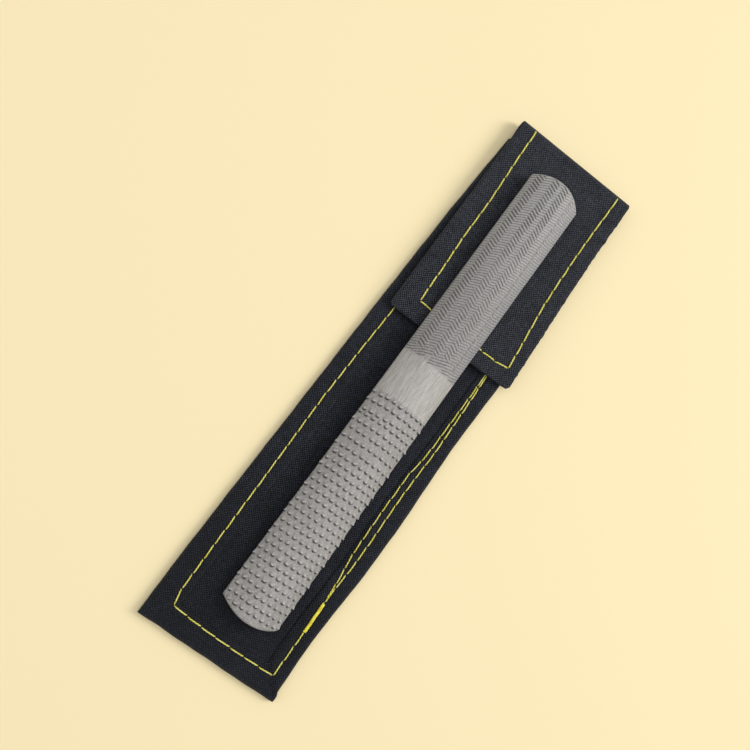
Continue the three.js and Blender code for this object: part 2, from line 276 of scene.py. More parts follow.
# ---------------------------------------------------------------------------------------------
# the rasp
# ---------------------------------------------------------------------------------------------
L_RASP, W_RASP, T_RASP, E_RASP = 195.8, 22.9, 6.2, 1.8
HALF = W_RASP / 2
SAG = T_RASP - E_RASP
CROWN_R = (HALF**2 + SAG**2) / (2 * SAG)
CROWN_A = math.asin(HALF / CROWN_R)
# rows of punched teeth: distance from the coarse apex, and how much each row leans
ROWS = [2.8, 5.58, 8.54, 11.41, 14.28, 17.21, 20.05, 22.78, 25.72, 28.66, 31.61, 34.58, 37.43, 40.36, 43.25, 46.24, 49.10, 52.05,
        54.97, 57.95, 60.88, 63.79, 67.09, 70.71, 74.33, 77.51, 80.78, 83.0, 86.5, 89.7]
ROW_LEAN = {27: 0.11, 28: 0.05, 29: 0.05}
PITCH, ROW_SHIFT, FIRST = 2.79, 0.3183, 1.43
COARSE_R = (HALF**2 + 3.0**2) / (2 * 3.0)
FINE_R = (HALF**2 + 3.1**2) / (2 * 3.1)
FINE_X = -0.6


def coarse_height(a, y, span, seed, height=0.70, pit=0.42):
    """Punched rasp teeth. a runs across the surface, y along it; each tooth faces the coarse end. Gives their height
    and a painted light mark: painted shade in each pit (positive) and a painted highlight on each tooth tip (negative).
    """
    r = np.random.default_rng(seed)
    h = np.zeros(a.shape)
    painted_light_mark = np.zeros(a.shape)
    for k, row in enumerate(ROWS):
        lean = ROW_LEAN.get(k, 0.033)
        for j in range(-22, 8):
            ac = FIRST + PITCH * (j + ROW_SHIFT * k) + r.uniform(-0.14, 0.14)
            if abs(ac) > span + 0.8:
                continue
            yc = row + 0.28 + lean * ac + r.uniform(-0.14, 0.14)
            size = r.uniform(0.82, 1.15)
            hw = 0.86 * size
            m = (np.abs(a - ac) < 1.5) & (y > yc - 1.4) & (y < yc + 2.4)
            if not m.any():
                continue
            u = (a[m] - ac) / hw
            body = np.clip(1 - u * u, 0, 1)
            lead = yc + 0.34 * u * u + 0.10 * u * r.uniform(-1, 1)
            v = y[m] - lead
            # tooth: sudden edge thrown up by the punch, short ramp behind it
            rise = smooth(-0.12, 0.14, v)
            fall = np.clip(1 - np.clip(v, 0, None) / 1.9, 0, 1) ** 1.35
            tooth = height * size * (body**0.6) * rise * fall
            # pit in front of the edge
            front = smooth(0.08, -0.12, v) * np.exp(-((np.clip(-v, 0, None) / 0.46) ** 2))
            inpit = np.clip(1 - (u * 0.92) ** 2, 0, 1) ** 0.55
            dig = pit * size * inpit * front
            h[m] = np.where(tooth > 0.01, np.maximum(h[m], tooth), h[m]) - dig
            # painted shade in the pit in front of the edge, painted highlight on the tooth tip
            shade = np.clip(inpit * front * 1.2, 0, 1)
            tip_highlight = np.clip(body * rise * fall * 1.25 - 0.45, 0, 1) * size
            painted_light_mark[m] = np.where(shade > 0.08, np.maximum(painted_light_mark[m], shade), np.where(painted_light_mark[m] > 0.08, painted_light_mark[m], -tip_highlight))
    return h, painted_light_mark


STRIP_EDGES = [-14.5, -7.4, -2.4, 3.5, 8.1]
STRIP_START = [108.6, 109.2, 108.5, 108.3, 108.1]
CROSS_BANDS = [(-8.45, 1.42, 1.0), (-2.2, 1.35, 0.72), (2.3, 1.35, 0.72), (7.4, 0.45, 0.45)]


def fine_height(a, y, flat=False):
    """Chisel-cut file teeth in lengthwise strips; alternate bands are cut a second time the other way. Gives their
    height and a painted light mark: painted shade before each cutting edge, painted highlight on each crest.
    """
    jitter = 0.10 * wob(a * 0.35, y * 0.06, 5, 1.0, 3)
    start = np.full(a.shape, 109.0)
    for edge, s0 in zip(STRIP_EDGES, STRIP_START):
        start = np.where(a >= edge, s0 + 0.50 * (a - edge) * (1 if edge > -14 else 0.30), start)
    # each cutting line starts a little before or after its neighbours
    line = np.floor((y - 0.36 * a) / 1.12)
    rag = 0.9 * (np.sin(line * 12.9898 + np.floor(a / 4.6) * 3.1) * 43758.5453 % 1.0)
    on = smooth(0.0, 0.5, y - start + 0.45 - rag)
    slope = 0.36 + 0.05 * np.sin(a * 0.45)
    pb = (y - slope * a + jitter) / 1.12
    fb = pb - np.floor(pb)
    saw_b = fb * smooth(1.0, 0.78, fb)  # climbs slowly, drops at the cutting edge that faces the fine end
    cut_ = 0.15 * saw_b
    near_cut_start = smooth(4.0, 0.5, y - start)
    # painted shade in the drop before each cutting edge, stronger near the start of the cut, and painted highlight on
    # each crest
    painted_light_mark = (1 - smooth(0.0, 0.34, saw_b)) * (0.72 + 0.28 * near_cut_start) - 0.5 * smooth(0.62, 0.95, saw_b)
    far = smooth(150, 178, y)
    for c, w, strength in CROSS_BANDS:
        centre = c + 0.30 * np.sin(y * 0.04 + c) - 0.004 * (y - 110)
        power = np.clip(strength + 0.28 * far * (abs(c) < 3), 0, 1.1)
        band = smooth(w + 0.30, w - 0.25, np.abs(a - centre)) * smooth(2.2, 4.2, y - start)
        pa = (y + 0.50 * (a - centre) + jitter * 1.4) / 1.43
        fa = pa - np.floor(pa)
        tooth = np.sin(math.pi * np.clip(fa / 0.92, 0, 1)) ** 0.8
        tooth = tooth * (1 - (0.18 + 0.30 * far) * (1 - saw_b))
        cross = 0.30 * power * tooth
        cut_ = cut_ * (1 - 0.85 * band) + band * cross
        # the cross-cut teeth get the same painted shade and painted highlight
        mark = (1 - smooth(0.10, 0.62, tooth)) * (0.35 + 0.65 * power) - 0.85 * power * smooth(0.72, 1.0, tooth)
        painted_light_mark = painted_light_mark * (1 - band) + band * mark
    # the painted tooth shade and highlights vary unevenly in strength and are weaker on the right side; one long seam
    # where two passes meet is drawn as a line of painted shade
    uneven = 0.97 + 0.22 * wob(a * 0.9, y * 0.45, 8, 1.0, 3)
    painted_light_mark = painted_light_mark * uneven * (1 - 0.32 * smooth(4.2, 6.0, a))
    seam = 7.9 - 0.020 * np.clip(y - 118, 0, 40) - 0.030 * np.clip(y - 165, 0, 40)
    painted_light_mark = np.maximum(painted_light_mark, 0.55 * np.exp(-(((a - seam) / 0.22) ** 2)) * smooth(111, 114, y) * (0.6 + 0.4 * np.sin(y * 2.4)))
    return (cut_ - 0.10) * on, painted_light_mark * on


def rasp_mesh():
    # rows along the length
    ys = np.concatenate([
        np.linspace(0, 91.4, 398),
        np.linspace(91.4, 106.4, 13)[1:],
        np.linspace(106.4, L_RASP, 478)[1:],
    ])
    if (len(ys) - 1) % 2:
        ys = np.concatenate([ys[:-1], [0.5 * (ys[-2] + ys[-1])], ys[-1:]])
    ny = len(ys)
    nt = 79
    # crown
    arc = np.linspace(-CROWN_A, CROWN_A, nt) * CROWN_R
    a = np.repeat(arc[None, :], ny, 0)
    x0 = CROWN_R * np.sin(a / CROWN_R)

    def run(x, y):
        """Length coordinate on the blade: rows are squeezed in the last few millimetres to follow the end arcs."""
        dc = COARSE_R - np.sqrt(COARSE_R**2 - x * x)
        df = FINE_R - np.sqrt(FINE_R**2 - (x - FINE_X) ** 2)
        z = 9.0
        y1 = np.where(y < z, dc + y * (z - dc) / z, y)
        return np.where(y > L_RASP - z, L_RASP - df - (L_RASP - y) * (z - df) / z, y1)

    def end_gap(x, y):
        dc = COARSE_R - np.sqrt(COARSE_R**2 - x * x)
        df = FINE_R - np.sqrt(FINE_R**2 - (x - FINE_X) ** 2)
        return y - dc, (L_RASP - df) - y

    y = run(x0, np.repeat(ys[:, None], nt, 1))
    gc, gf = end_gap(x0, y)
    hc, cc = coarse_height(a, y, 12.6, 11)
    hf, cf = fine_height(a, y)
    mask_c = smooth(0.5, 1.3, gc)
    mask_f = smooth(0.15, 0.7, gf)
    h = hc * mask_c * (y < 96) + hf * mask_f
    # painted shade (positive) and painted highlight (negative) of the crown's teeth, kept on the mesh for the steel
    # colour
    painted_light_mark = np.clip(cc * mask_c * (y < 96) + cf * mask_f, -1, 1)
    # ground ends roll off
    roll = 0.30 * (1 - smooth(0, 0.7, gc)) ** 2 + 0.25 * (1 - smooth(0, 0.6, gf)) ** 2
    h = h - roll
    nx, nz = np.sin(a / CROWN_R), np.cos(a / CROWN_R)
    X = x0 + nx * h
    Z = (T_RASP - CROWN_R) + CROWN_R * np.cos(a / CROWN_R) + nz * h
    top = np.stack([X, y, Z], 2)

    # flat side, at half the rows
    nb = 45
    yb_rows = ys[::2]
    nyb = len(yb_rows)
    xb = np.repeat(np.linspace(HALF - 0.35, -HALF + 0.35, nb)[None, :], nyb, 0)
    yb = run(xb, np.repeat(yb_rows[:, None], nb, 1))
    gcb, gfb = end_gap(xb, yb)
    hcb, ccb = coarse_height(xb, yb, 11.2, 23)
    hfb, cfb = fine_height(xb, yb, flat=True)
    hb = hcb * smooth(1.0, 2.2, gcb) * (yb < 96) + hfb * smooth(0.2, 0.9, gfb)
    # the same painted shade and painted highlight for the flat side's teeth
    cavb = np.clip(ccb * smooth(1, 2.2, gcb) * (yb < 96) + cfb, -1, 1)
    # the flat side's teeth stand on a face ground 0.5 mm back, so that their tips stay on the blade's envelope
    bottom = np.stack([xb, yb, 0.45 - hb * 0.7], 2)

    # side walls: one full strip, then one joining strip, then one half-density strip on each side
    verts = [top.reshape(-1, 3)]
    faces = []
    cavs = [painted_light_mark.ravel()]
    nv = ny * nt
    T = np.arange(nv).reshape(ny, nt)
    for i in range(ny - 1):
        r0, r1 = T[i], T[i + 1]
        for j in range(nt - 1):
            faces.append((r0[j], r0[j + 1], r1[j + 1], r1[j]))
    B = nv + np.arange(nyb * nb).reshape(nyb, nb)
    verts.append(bottom.reshape(-1, 3))
    cavs.append(cavb.ravel())
    nv += nyb * nb
    for i in range(nyb - 1):
        r0, r1 = B[i], B[i + 1]
        for j in range(nb - 1):
            faces.append((r0[j], r0[j + 1], r1[j + 1], r1[j]))

    walls = {}
    for side in (1, -1):
        edge = top[:, -1] if side > 0 else top[:, 0]
        nearest_h = (h[:, -1] if side > 0 else h[:, 0])
        full = np.stack([side * (HALF + 0.03 + np.clip(nearest_h, -0.25, 0.5) * 0.55), edge[:, 1], np.full(ny, 1.15)], 1)
        x_low = side * (HALF + np.clip(nearest_h[::2], -0.2, 0.4) * 0.2)
        low = np.stack([x_low, run(np.full(nyb, HALF), yb_rows), np.full(nyb, 0.75)], 1)
        verts += [full, low]
        cavs += [np.zeros(ny), np.zeros(nyb)]
        F = nv + np.arange(ny)
        nv += ny
        Lw = nv + np.arange(nyb)
        nv += nyb
        walls[side] = (F, Lw)
        tcol = T[:, -1] if side > 0 else T[:, 0]
        bcol = B[:, 0] if side > 0 else B[:, -1]
        for i in range(ny - 1):
            q = (tcol[i], F[i], F[i + 1], tcol[i + 1])
            faces.append(q if side > 0 else q[::-1])
        for i in range(nyb - 1):
            q = (F[2 * i], Lw[i], Lw[i + 1], F[2 * i + 2], F[2 * i + 1])
            faces.append(q if side > 0 else q[::-1])
            q = (Lw[i], bcol[i], bcol[i + 1], Lw[i + 1])
            faces.append(q if side > 0 else q[::-1])
    # ends: rows of quads between crown and flat side
    for row_t, row_b, flip in ((T[0], B[0], False), (T[-1], B[-1], True)):
        i = 0 if not flip else -1
        Fp, Lp = walls[1]
        Fm, Lm = walls[-1]
        n_mid = 3
        upper = np.concatenate([[Fm[i]], row_t, [Fp[i]]])
        lower = np.concatenate([[Lm[i]], row_b[::-1], [Lp[i]]])
        allv = np.concatenate(verts)
        up, lo = allv[upper], allv[lower]
        prev = upper
        # resample the lower line to as many points as the upper one has
        grid_rows = []
        for k in range(1, n_mid + 1):
            t = k / (n_mid + 1)
            lx = np.interp(up[:, 0], lo[:, 0], lo[:, 2])
            ly = np.interp(up[:, 0], lo[:, 0], lo[:, 1])
            p = np.stack([up[:, 0], up[:, 1] * (1 - t) + ly * t, up[:, 2] * (1 - t) + lx * t], 1)
            if k == 1:
                p[:, 1] += 0.0
            verts.append(p)
            cavs.append(np.zeros(len(p)))
            cur = nv + np.arange(len(p))
            nv += len(p)
            for j in range(len(p) - 1):
                q = (prev[j], cur[j], cur[j + 1], prev[j + 1])
                faces.append(q if not flip else q[::-1])
            prev = cur
        # last strip: one polygon run joining lines of different counts, by nearest place
        j, m = 0, 0
        A_, B_ = prev, lower
        allv = np.concatenate(verts)
        while j < len(A_) - 1 or m < len(B_) - 1:
            if m >= len(B_) - 1 or (j < len(A_) - 1 and allv[A_[j + 1], 0] <= allv[B_[m + 1], 0]):
                q = (A_[j], B_[m], A_[j + 1])
                j += 1
            else:
                q = (A_[j], B_[m], B_[m + 1])
                m += 1
            faces.append(q if not flip else q[::-1])
    v = np.concatenate(verts)
    return v, faces, np.concatenate(cavs)


RASP_TILT, RASP_TURN = math.radians(1.75), math.radians(1.13)
RASP_ROT = np.array(Matrix.Rotation(RASP_TURN, 3, "Z") @ Matrix.Rotation(RASP_TILT, 3, "X"))
RASP_AT = np.array([0.27, 0.3, 6.4 - (23 - 0.3) * math.tan(RASP_TILT)])

rv, rf, rcav = rasp_mesh()
local = rv.copy()
placed = (rv - np.array([0, L_RASP / 2, 0])) @ RASP_ROT.T + RASP_AT
rasp = make("rasp_blade_cut", placed, rf, {"painted_light_mark": rcav, "lp": local})


def close_up(o):
    """fill the small open corners left where the side walls meet the two end strips"""
    bm = bmesh.new()
    bm.from_mesh(o.data)
    edges = [e for e in bm.edges if e.is_boundary]
    made = bmesh.ops.holes_fill(bm, edges=edges, sides=0)["faces"]
    bmesh.ops.triangulate(bm, faces=made)
    bmesh.ops.recalc_face_normals(bm, faces=bm.faces)
    bm.to_mesh(o.data)
    bm.free()
    o.data.update()


close_up(rasp)


# ---------------------------------------------------------------------------------------------
# materials
# ---------------------------------------------------------------------------------------------
class Tree:
    def __init__(self, name):
        self.m = bpy.data.materials.new(name)
        self.m.use_nodes = True
        self.t = self.m.node_tree
        self.t.nodes.clear()
        self.out = self.t.nodes.new("ShaderNodeOutputMaterial")
        self.bsdf = self.t.nodes.new("ShaderNodeBsdfPrincipled")
        self.t.links.new(self.bsdf.outputs[0], self.out.inputs[0])

    def put(self, socket, value):
        if isinstance(value, bpy.types.NodeSocket):
            self.t.links.new(value, socket)
        elif isinstance(value, (tuple, list)) and len(value) == 3 and socket.type == "RGBA":
            socket.default_value = (*value, 1)
        else:
            socket.default_value = value

    def set(self, name, value):
        self.put(self.bsdf.inputs[name], value)

    def math(self, op, a, b=0.0, c=0.0, clamp=False):
        n = self.t.nodes.new("ShaderNodeMath")
        n.operation = op
        n.use_clamp = clamp
        self.put(n.inputs[0], a)
        self.put(n.inputs[1], b)
        self.put(n.inputs[2], c)
        return n.outputs[0]

    def attr(self, name, out="Fac"):
        n = self.t.nodes.new("ShaderNodeAttribute")
        n.attribute_name = name
        return n.outputs[out]

    def split(self, v):
        n = self.t.nodes.new("ShaderNodeSeparateXYZ")
        self.put(n.inputs[0], v)
        return n.outputs[0], n.outputs[1], n.outputs[2]

    def join(self, x, y, z):
        n = self.t.nodes.new("ShaderNodeCombineXYZ")
        for i, v in enumerate((x, y, z)):
            self.put(n.inputs[i], v)
        return n.outputs[0]

    def noise(self, vec, scale, detail=3.0, rough=0.55, out="Fac"):
        n = self.t.nodes.new("ShaderNodeTexNoise")
        self.put(n.inputs["Vector"], vec)
        n.inputs["Scale"].default_value = scale
        n.inputs["Detail"].default_value = detail
        n.inputs["Roughness"].default_value = rough
        return n.outputs[out]

    def voronoi(self, vec, scale):
        n = self.t.nodes.new("ShaderNodeTexVoronoi")
        self.put(n.inputs["Vector"], vec)
        n.inputs["Scale"].default_value = scale
        return n.outputs["Distance"]

    def ramp(self, v, lo, hi, a=0.0, b=1.0):
        n = self.t.nodes.new("ShaderNodeMapRange")
        n.interpolation_type = "SMOOTHSTEP"
        self.put(n.inputs[0], v)
        for i, x in enumerate((lo, hi, a, b)):
            self.put(n.inputs[i + 1], x)
        return n.outputs[0]

    def mix(self, f, a, b):
        n = self.t.nodes.new("ShaderNodeMix")
        n.data_type = "RGBA"
        self.put(n.inputs[0], f)
        self.put(n.inputs[6], a)
        self.put(n.inputs[7], b)
        return n.outputs[2]

    def fmix(self, f, a, b):
        n = self.t.nodes.new("ShaderNodeMix")
        n.data_type = "FLOAT"
        self.put(n.inputs[0], f)
        self.put(n.inputs[2], a)
        self.put(n.inputs[3], b)
        return n.outputs[0]

    def bump(self, height, strength, distance, normal=None):
        n = self.t.nodes.new("ShaderNodeBump")
        n.inputs["Strength"].default_value = strength
        n.inputs["Distance"].default_value = distance
        self.put(n.inputs["Height"], height)
        if normal is not None:
            self.put(n.inputs["Normal"], normal)
        return n.outputs[0]


def srgb(*c):
    return tuple(((v / 255) / 12.92 if v / 255 <= 0.04045 else ((v / 255 + 0.055) / 1.055) ** 2.4) for v in c)


def steel_material():
    t = Tree("cut_brushed_steel")
    lp = t.attr("lp", "Vector")
    x, y, z = t.split(lp)
    # painted light of the teeth: positive values are painted shade in pits and grooves, negative values painted
    # highlight on tips and crests
    mark = t.attr("painted_light_mark")
    painted_light_mark = t.math("MAXIMUM", mark, 0.0)
    tip_highlight = t.math("MAXIMUM", t.math("MULTIPLY", mark, -1.0), 0.0)
    streak = t.noise(t.join(t.math("MULTIPLY", x, 4.2), t.math("MULTIPLY", y, 0.20), z), 1.0, 5, 0.68)
    fine = t.noise(t.join(t.math("MULTIPLY", x, 13.0), t.math("MULTIPLY", y, 0.8), z), 1.0, 3, 0.6)
    blotch = t.noise(t.join(x, t.math("MULTIPLY", y, 0.5), z), 0.16, 4, 0.6)
    grain = t.noise(lp, 1.9, 5, 0.78)
    band = t.math("MULTIPLY", t.ramp(y, 90.8, 92.0), t.ramp(y, 109.8, 108.2))
    fineend = t.ramp(y, 107.5, 110.5)
    base = t.mix(t.ramp(blotch, 0.3, 0.7), (0.300, 0.285, 0.277), (0.352, 0.342, 0.334))
    base = t.mix(t.math("MULTIPLY", fineend, 0.55), base, (0.300, 0.294, 0.290))
    base = t.mix(t.math("MULTIPLY", t.ramp(streak, 0.35, 0.75), 0.25), base, (0.43, 0.425, 0.42))
    bandc = t.mix(t.ramp(streak, 0.32, 0.68), (0.315, 0.305, 0.290), (0.53, 0.52, 0.50))
    base = t.mix(t.math("MULTIPLY", t.ramp(y, 125, 190), 0.55), base, (0.445, 0.44, 0.435))
    base = t.mix(t.math("MULTIPLY", t.math("MULTIPLY", fineend, t.ramp(x, 4.5, 11.0)), 0.40), base, (0.30, 0.315, 0.345))
    base = t.mix(t.math("MULTIPLY", band, 0.9), base, bandc)
    base = t.mix(t.math("MULTIPLY", t.ramp(grain, 0.46, 0.68), t.fmix(band, 0.55, 0.16)), base, (0.15, 0.14, 0.135))
    base = t.mix(t.math("MULTIPLY", t.ramp(grain, 0.50, 0.32), t.fmix(band, 0.55, 0.20)), base, (0.60, 0.59, 0.58))
    # painted highlight on the tooth tips and crests
    base = t.mix(t.math("MULTIPLY", tip_highlight, 0.80), base, (0.66, 0.65, 0.64))
    # painted shade in the pits and grooves
    dark = t.math("MULTIPLY", t.math("POWER", painted_light_mark, 0.75), t.fmix(fineend, 0.98, 0.88))
    base = t.mix(dark, base, (0.022, 0.020, 0.020))
    t.set("Base Color", base)
    t.set("Metallic", t.fmix(band, 0.22, 0.35))
    r = t.math("ADD", t.fmix(t.ramp(fine, 0.3, 0.7), 0.56, 0.70), t.math("MULTIPLY", painted_light_mark, 0.2))
    t.set("Roughness", r)
    t.set("Specular IOR Level", 0.35)
    h = t.math("ADD", t.math("MULTIPLY", streak, 0.6), t.math("MULTIPLY", fine, 0.4))
    t.set("Normal", t.bump(h, 0.35, 0.00005, t.bump(grain, 0.25, 0.00010)))
    return t.m


def cloth_material(name, dark, light, pitch=0.53, weave=1.0, sheen=0.10, rough=0.86):
    """Plain weave: threads cross over and under; the pattern follows the rest shape so it stays put as cloth bends."""
    t = Tree(name)
    rp = t.attr("rp", "Vector")
    rn = t.attr("rn", "Vector")
    x, y, z = t.split(rp)
    nx, ny, nz = t.split(rn)
    flat = t.math("GREATER_THAN", t.math("ABSOLUTE", nz), 0.5)
    sidex = t.math("GREATER_THAN", t.math("ABSOLUTE", nx), t.math("ABSOLUTE", ny))
    a = t.fmix(flat, t.fmix(sidex, x, z), x)
    b = t.fmix(flat, t.fmix(sidex, z, y), y)
    wander = t.noise(t.join(a, b, 0.0), 0.25, 3, 0.5)
    wander2 = t.noise(t.join(b, a, 3.0), 0.25, 3, 0.5)
    a2 = t.math("ADD", a, t.math("MULTIPLY", t.math("SUBTRACT", wander, 0.5), 0.9))
    b2 = t.math("ADD", b, t.math("MULTIPLY", t.math("SUBTRACT", wander2, 0.5), 0.9))
    k = math.pi / pitch
    sa = t.math("SINE", t.math("MULTIPLY", a2, k))
    sb = t.math("SINE", t.math("MULTIPLY", b2, k))
    checker = t.math("MULTIPLY", sa, sb)  # -1..1, warp on top where positive
    warp = t.math("ABSOLUTE", sa)
    weft = t.math("ABSOLUTE", sb)
    over = t.ramp(checker, -0.25, 0.25)
    height = t.fmix(over, t.math("MULTIPLY", weft, t.math("SUBTRACT", 1.15, t.math("MULTIPLY", warp, 0.35))),
                    t.math("MULTIPLY", warp, t.math("SUBTRACT", 1.15, t.math("MULTIPLY", weft, 0.35))))
    yarn = t.noise(t.join(t.math("MULTIPLY", a, 1.0), t.math("MULTIPLY", b, 1.0), 7.0), 1.5, 3, 0.75)
    slub = t.noise(t.join(t.math("MULTIPLY", a, 0.9), t.math("MULTIPLY", b, 0.12), 2.0), 1.0, 3, 0.6)
    slub2 = t.noise(t.join(t.math("MULTIPLY", a, 0.12), t.math("MULTIPLY", b, 0.9), 5.0), 1.0, 3, 0.6)
    cloud = t.noise(rp, 0.035, 4, 0.55)
    # the weave's colour is partly painted light and partly the yarn's own tone: yarn crowns are painted lighter and the
    # hollows between them darker, alternate crossings are painted lighter and darker as painted sheen, and yarn, slub
    # and cloud add tone that varies at random
    lift = t.math("MULTIPLY", t.ramp(height, 0.25, 1.1), 0.75)
    lift = t.math("ADD", lift, t.math("MULTIPLY", checker, 0.62))
    lift = t.math("ADD", lift, t.math("MULTIPLY", t.math("SUBTRACT", yarn, 0.60), 1.9))
    lift = t.math("ADD", lift, t.math("MULTIPLY", t.math("SUBTRACT", slub, 0.5), 0.8))
    lift = t.math("ADD", lift, t.math("MULTIPLY", t.math("SUBTRACT", slub2, 0.5), 0.8))
    lift = t.math("ADD", lift, t.math("MULTIPLY", t.math("SUBTRACT", cloud, 0.5), 0.5), clamp=True)
    col = t.mix(lift, dark, light)
    # painted shade: the cloth is painted darker towards the closed end, where the light falls off, and stays paler
    # towards the fold
    col = t.mix(t.math("MULTIPLY", t.ramp(y, -35.0, -95.0), 0.36), col, dark)
    # fine lint caught on the weave
    lint = t.ramp(t.voronoi(t.join(t.math("MULTIPLY", a, 0.35), t.math("MULTIPLY", b, 1.1), 0.0), 0.30), 0.045, 0.0)
    col = t.mix(t.math("MULTIPLY", lint, 0.10), col, (0.25, 0.25, 0.24))
    t.set("Base Color", col)
    t.set("Roughness", t.fmix(t.ramp(height, 0.2, 1.0), rough + 0.1, rough - 0.1))
    t.set("Specular IOR Level", 0.22)
    t.set("Sheen Weight", sheen)
    t.set("Sheen Roughness", 0.5)
    t.set("Sheen Tint", (0.75, 0.8, 0.9, 1))
    full = t.math("ADD", height, t.math("MULTIPLY", yarn, 0.35))
    t.set("Normal", t.bump(full, weave, 0.00022))
    return t.m


def thread_material(name, base, dark, pale):
    t = Tree(name)
    tw = t.attr("tw", "Vector")
    s, ang, r = t.split(tw)
    # two plies twisted together, with finer filaments; the groove between the plies is painted darker, as painted shade
    ply = t.math("SINE", t.math("ADD", t.math("MULTIPLY", s, 5.2), t.math("MULTIPLY", ang, 2.0)))
    fil = t.math("SINE", t.math("ADD", t.math("MULTIPLY", s, 16.0), t.math("MULTIPLY", ang, 9.0)))
    spot = t.noise(t.attr("rp", "Vector"), 0.45, 3, 0.6)
    f = t.ramp(ply, -1.0, 0.3)
    c = t.mix(f, dark, base)
    c = t.mix(t.math("MULTIPLY", t.ramp(spot, 0.35, 0.7), 0.55), c, pale)
    # painted shade at each end of a stitch, where the thread goes down into its needle hole
    c = t.mix(t.math("MULTIPLY", t.ramp(r, 0.2, 0.0), 0.35), c, dark)
    t.set("Base Color", c)
    t.set("Roughness", 0.62)
    t.set("Specular IOR Level", 0.35)
    t.set("Sheen Weight", 0.2)
    h = t.math("ADD", t.math("MULTIPLY", ply, 0.5), t.math("MULTIPLY", fil, 0.2))
    t.set("Normal", t.bump(h, 0.6, 0.00008))
    return t.m


def pile_material():
    t = Tree("loop_pile")
    rp = t.attr("rp", "Vector")
    fuzz = t.noise(rp, 2.6, 5, 0.75)
    clump = t.noise(rp, 0.5, 3, 0.6)
    c = t.mix(t.ramp(fuzz, 0.3, 0.75), srgb(14, 14, 16), srgb(52, 52, 56))
    c = t.mix(t.math("MULTIPLY", t.ramp(clump, 0.5, 0.8), 0.4), c, srgb(66, 66, 70))
    t.set("Base Color", c)
    t.set("Roughness", 0.95)
    t.set("Sheen Weight", 0.5)
    t.set("Normal", t.bump(fuzz, 0.9, 0.0004))
    return t.m


def hook_material():
    t = Tree("hook_tape")
    rp = t.attr("rp", "Vector")
    n = t.noise(rp, 1.6, 4, 0.6)
    c = t.mix(t.ramp(n, 0.3, 0.7), srgb(22, 22, 24), srgb(44, 44, 47))
    t.set("Base Color", c)
    t.set("Roughness", t.fmix(n, 0.4, 0.6))
    t.set("Normal", t.bump(n, 0.3, 0.0002))
    return t.m


M_STEEL = steel_material()
# the body and the flap are one cloth: the body's copy of the weave is painted darker and the flap's lighter, painted
# shade and painted light for the light falling off away from the flap
M_BODY = cloth_material("sheath_weave_shaded", srgb(3, 4, 6), srgb(62, 67, 80))
M_FLAP = cloth_material("flap_weave_lit", srgb(6, 8, 12), srgb(84, 89, 100))
M_YELLOW = thread_material("yellow_thread", srgb(236, 228, 84), srgb(150, 138, 34), srgb(244, 240, 160))
M_TACK = thread_material("tack_thread", srgb(250, 236, 44), srgb(196, 174, 22), srgb(255, 248, 110))
M_DARK = thread_material("dark_thread", srgb(34, 34, 36), srgb(14, 14, 15), srgb(56, 56, 60))
M_PILE = pile_material()
M_HOOK = hook_material()


def finish_piece(obj, material, body, slot, *nodes):
    obj.data.materials.clear()
    obj.data.materials.append(material)
    if body:
        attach(obj, body)
    if nodes:
        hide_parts(*nodes)
    return obj


finish_piece(rasp, M_STEEL, "rasp", "steel", "rasp_blade")


# ---------------------------------------------------------------------------------------------
# back cloth with folded hems
# ---------------------------------------------------------------------------------------------
HEM_Z = 3.08


def hem_top(x, y):
    """Height of the hem's outer skin above the table at a point."""
    z = np.full(x.shape, HEM_Z)
    z = z + 0.07 * wob(x, y, 3, 0.09, 4)
    # the folded edge thins out towards its inner side
    inner = np.minimum.reduce([np.abs(x + 28.5) if np.ndim(x) == 0 else np.abs(x + 28.5), np.abs(27.7 - x), np.abs(y + 115.3)])
    z = z - 0.34 * smooth(7.2, 9.3, inner)
    z = z - seam_sink(x, y, H_POCKET)
    z = z - seam_sink(x, y, H_SECOND, depth=0.2)
    # mitres at both closed corners: the side hem laps over the bottom hem
    for cx, cy, sx in ((-28.05, -116.05, 1), (28.0, -114.15, -1)):
        u = (x - cx) * sx
        v = y - cy
        d = (u - v) / math.sqrt(2)
        along = (u + v) / math.sqrt(2)
        here = smooth(15.5, 12.5, along) * smooth(-0.5, 1.0, along)
        z = z - here * 0.48 * np.exp(-((d / 0.40) ** 2))
        z = z + here * 0.26 * smooth(3.0, 0.3, np.abs(d + 1.2)) * (d < 0.2)
    return z


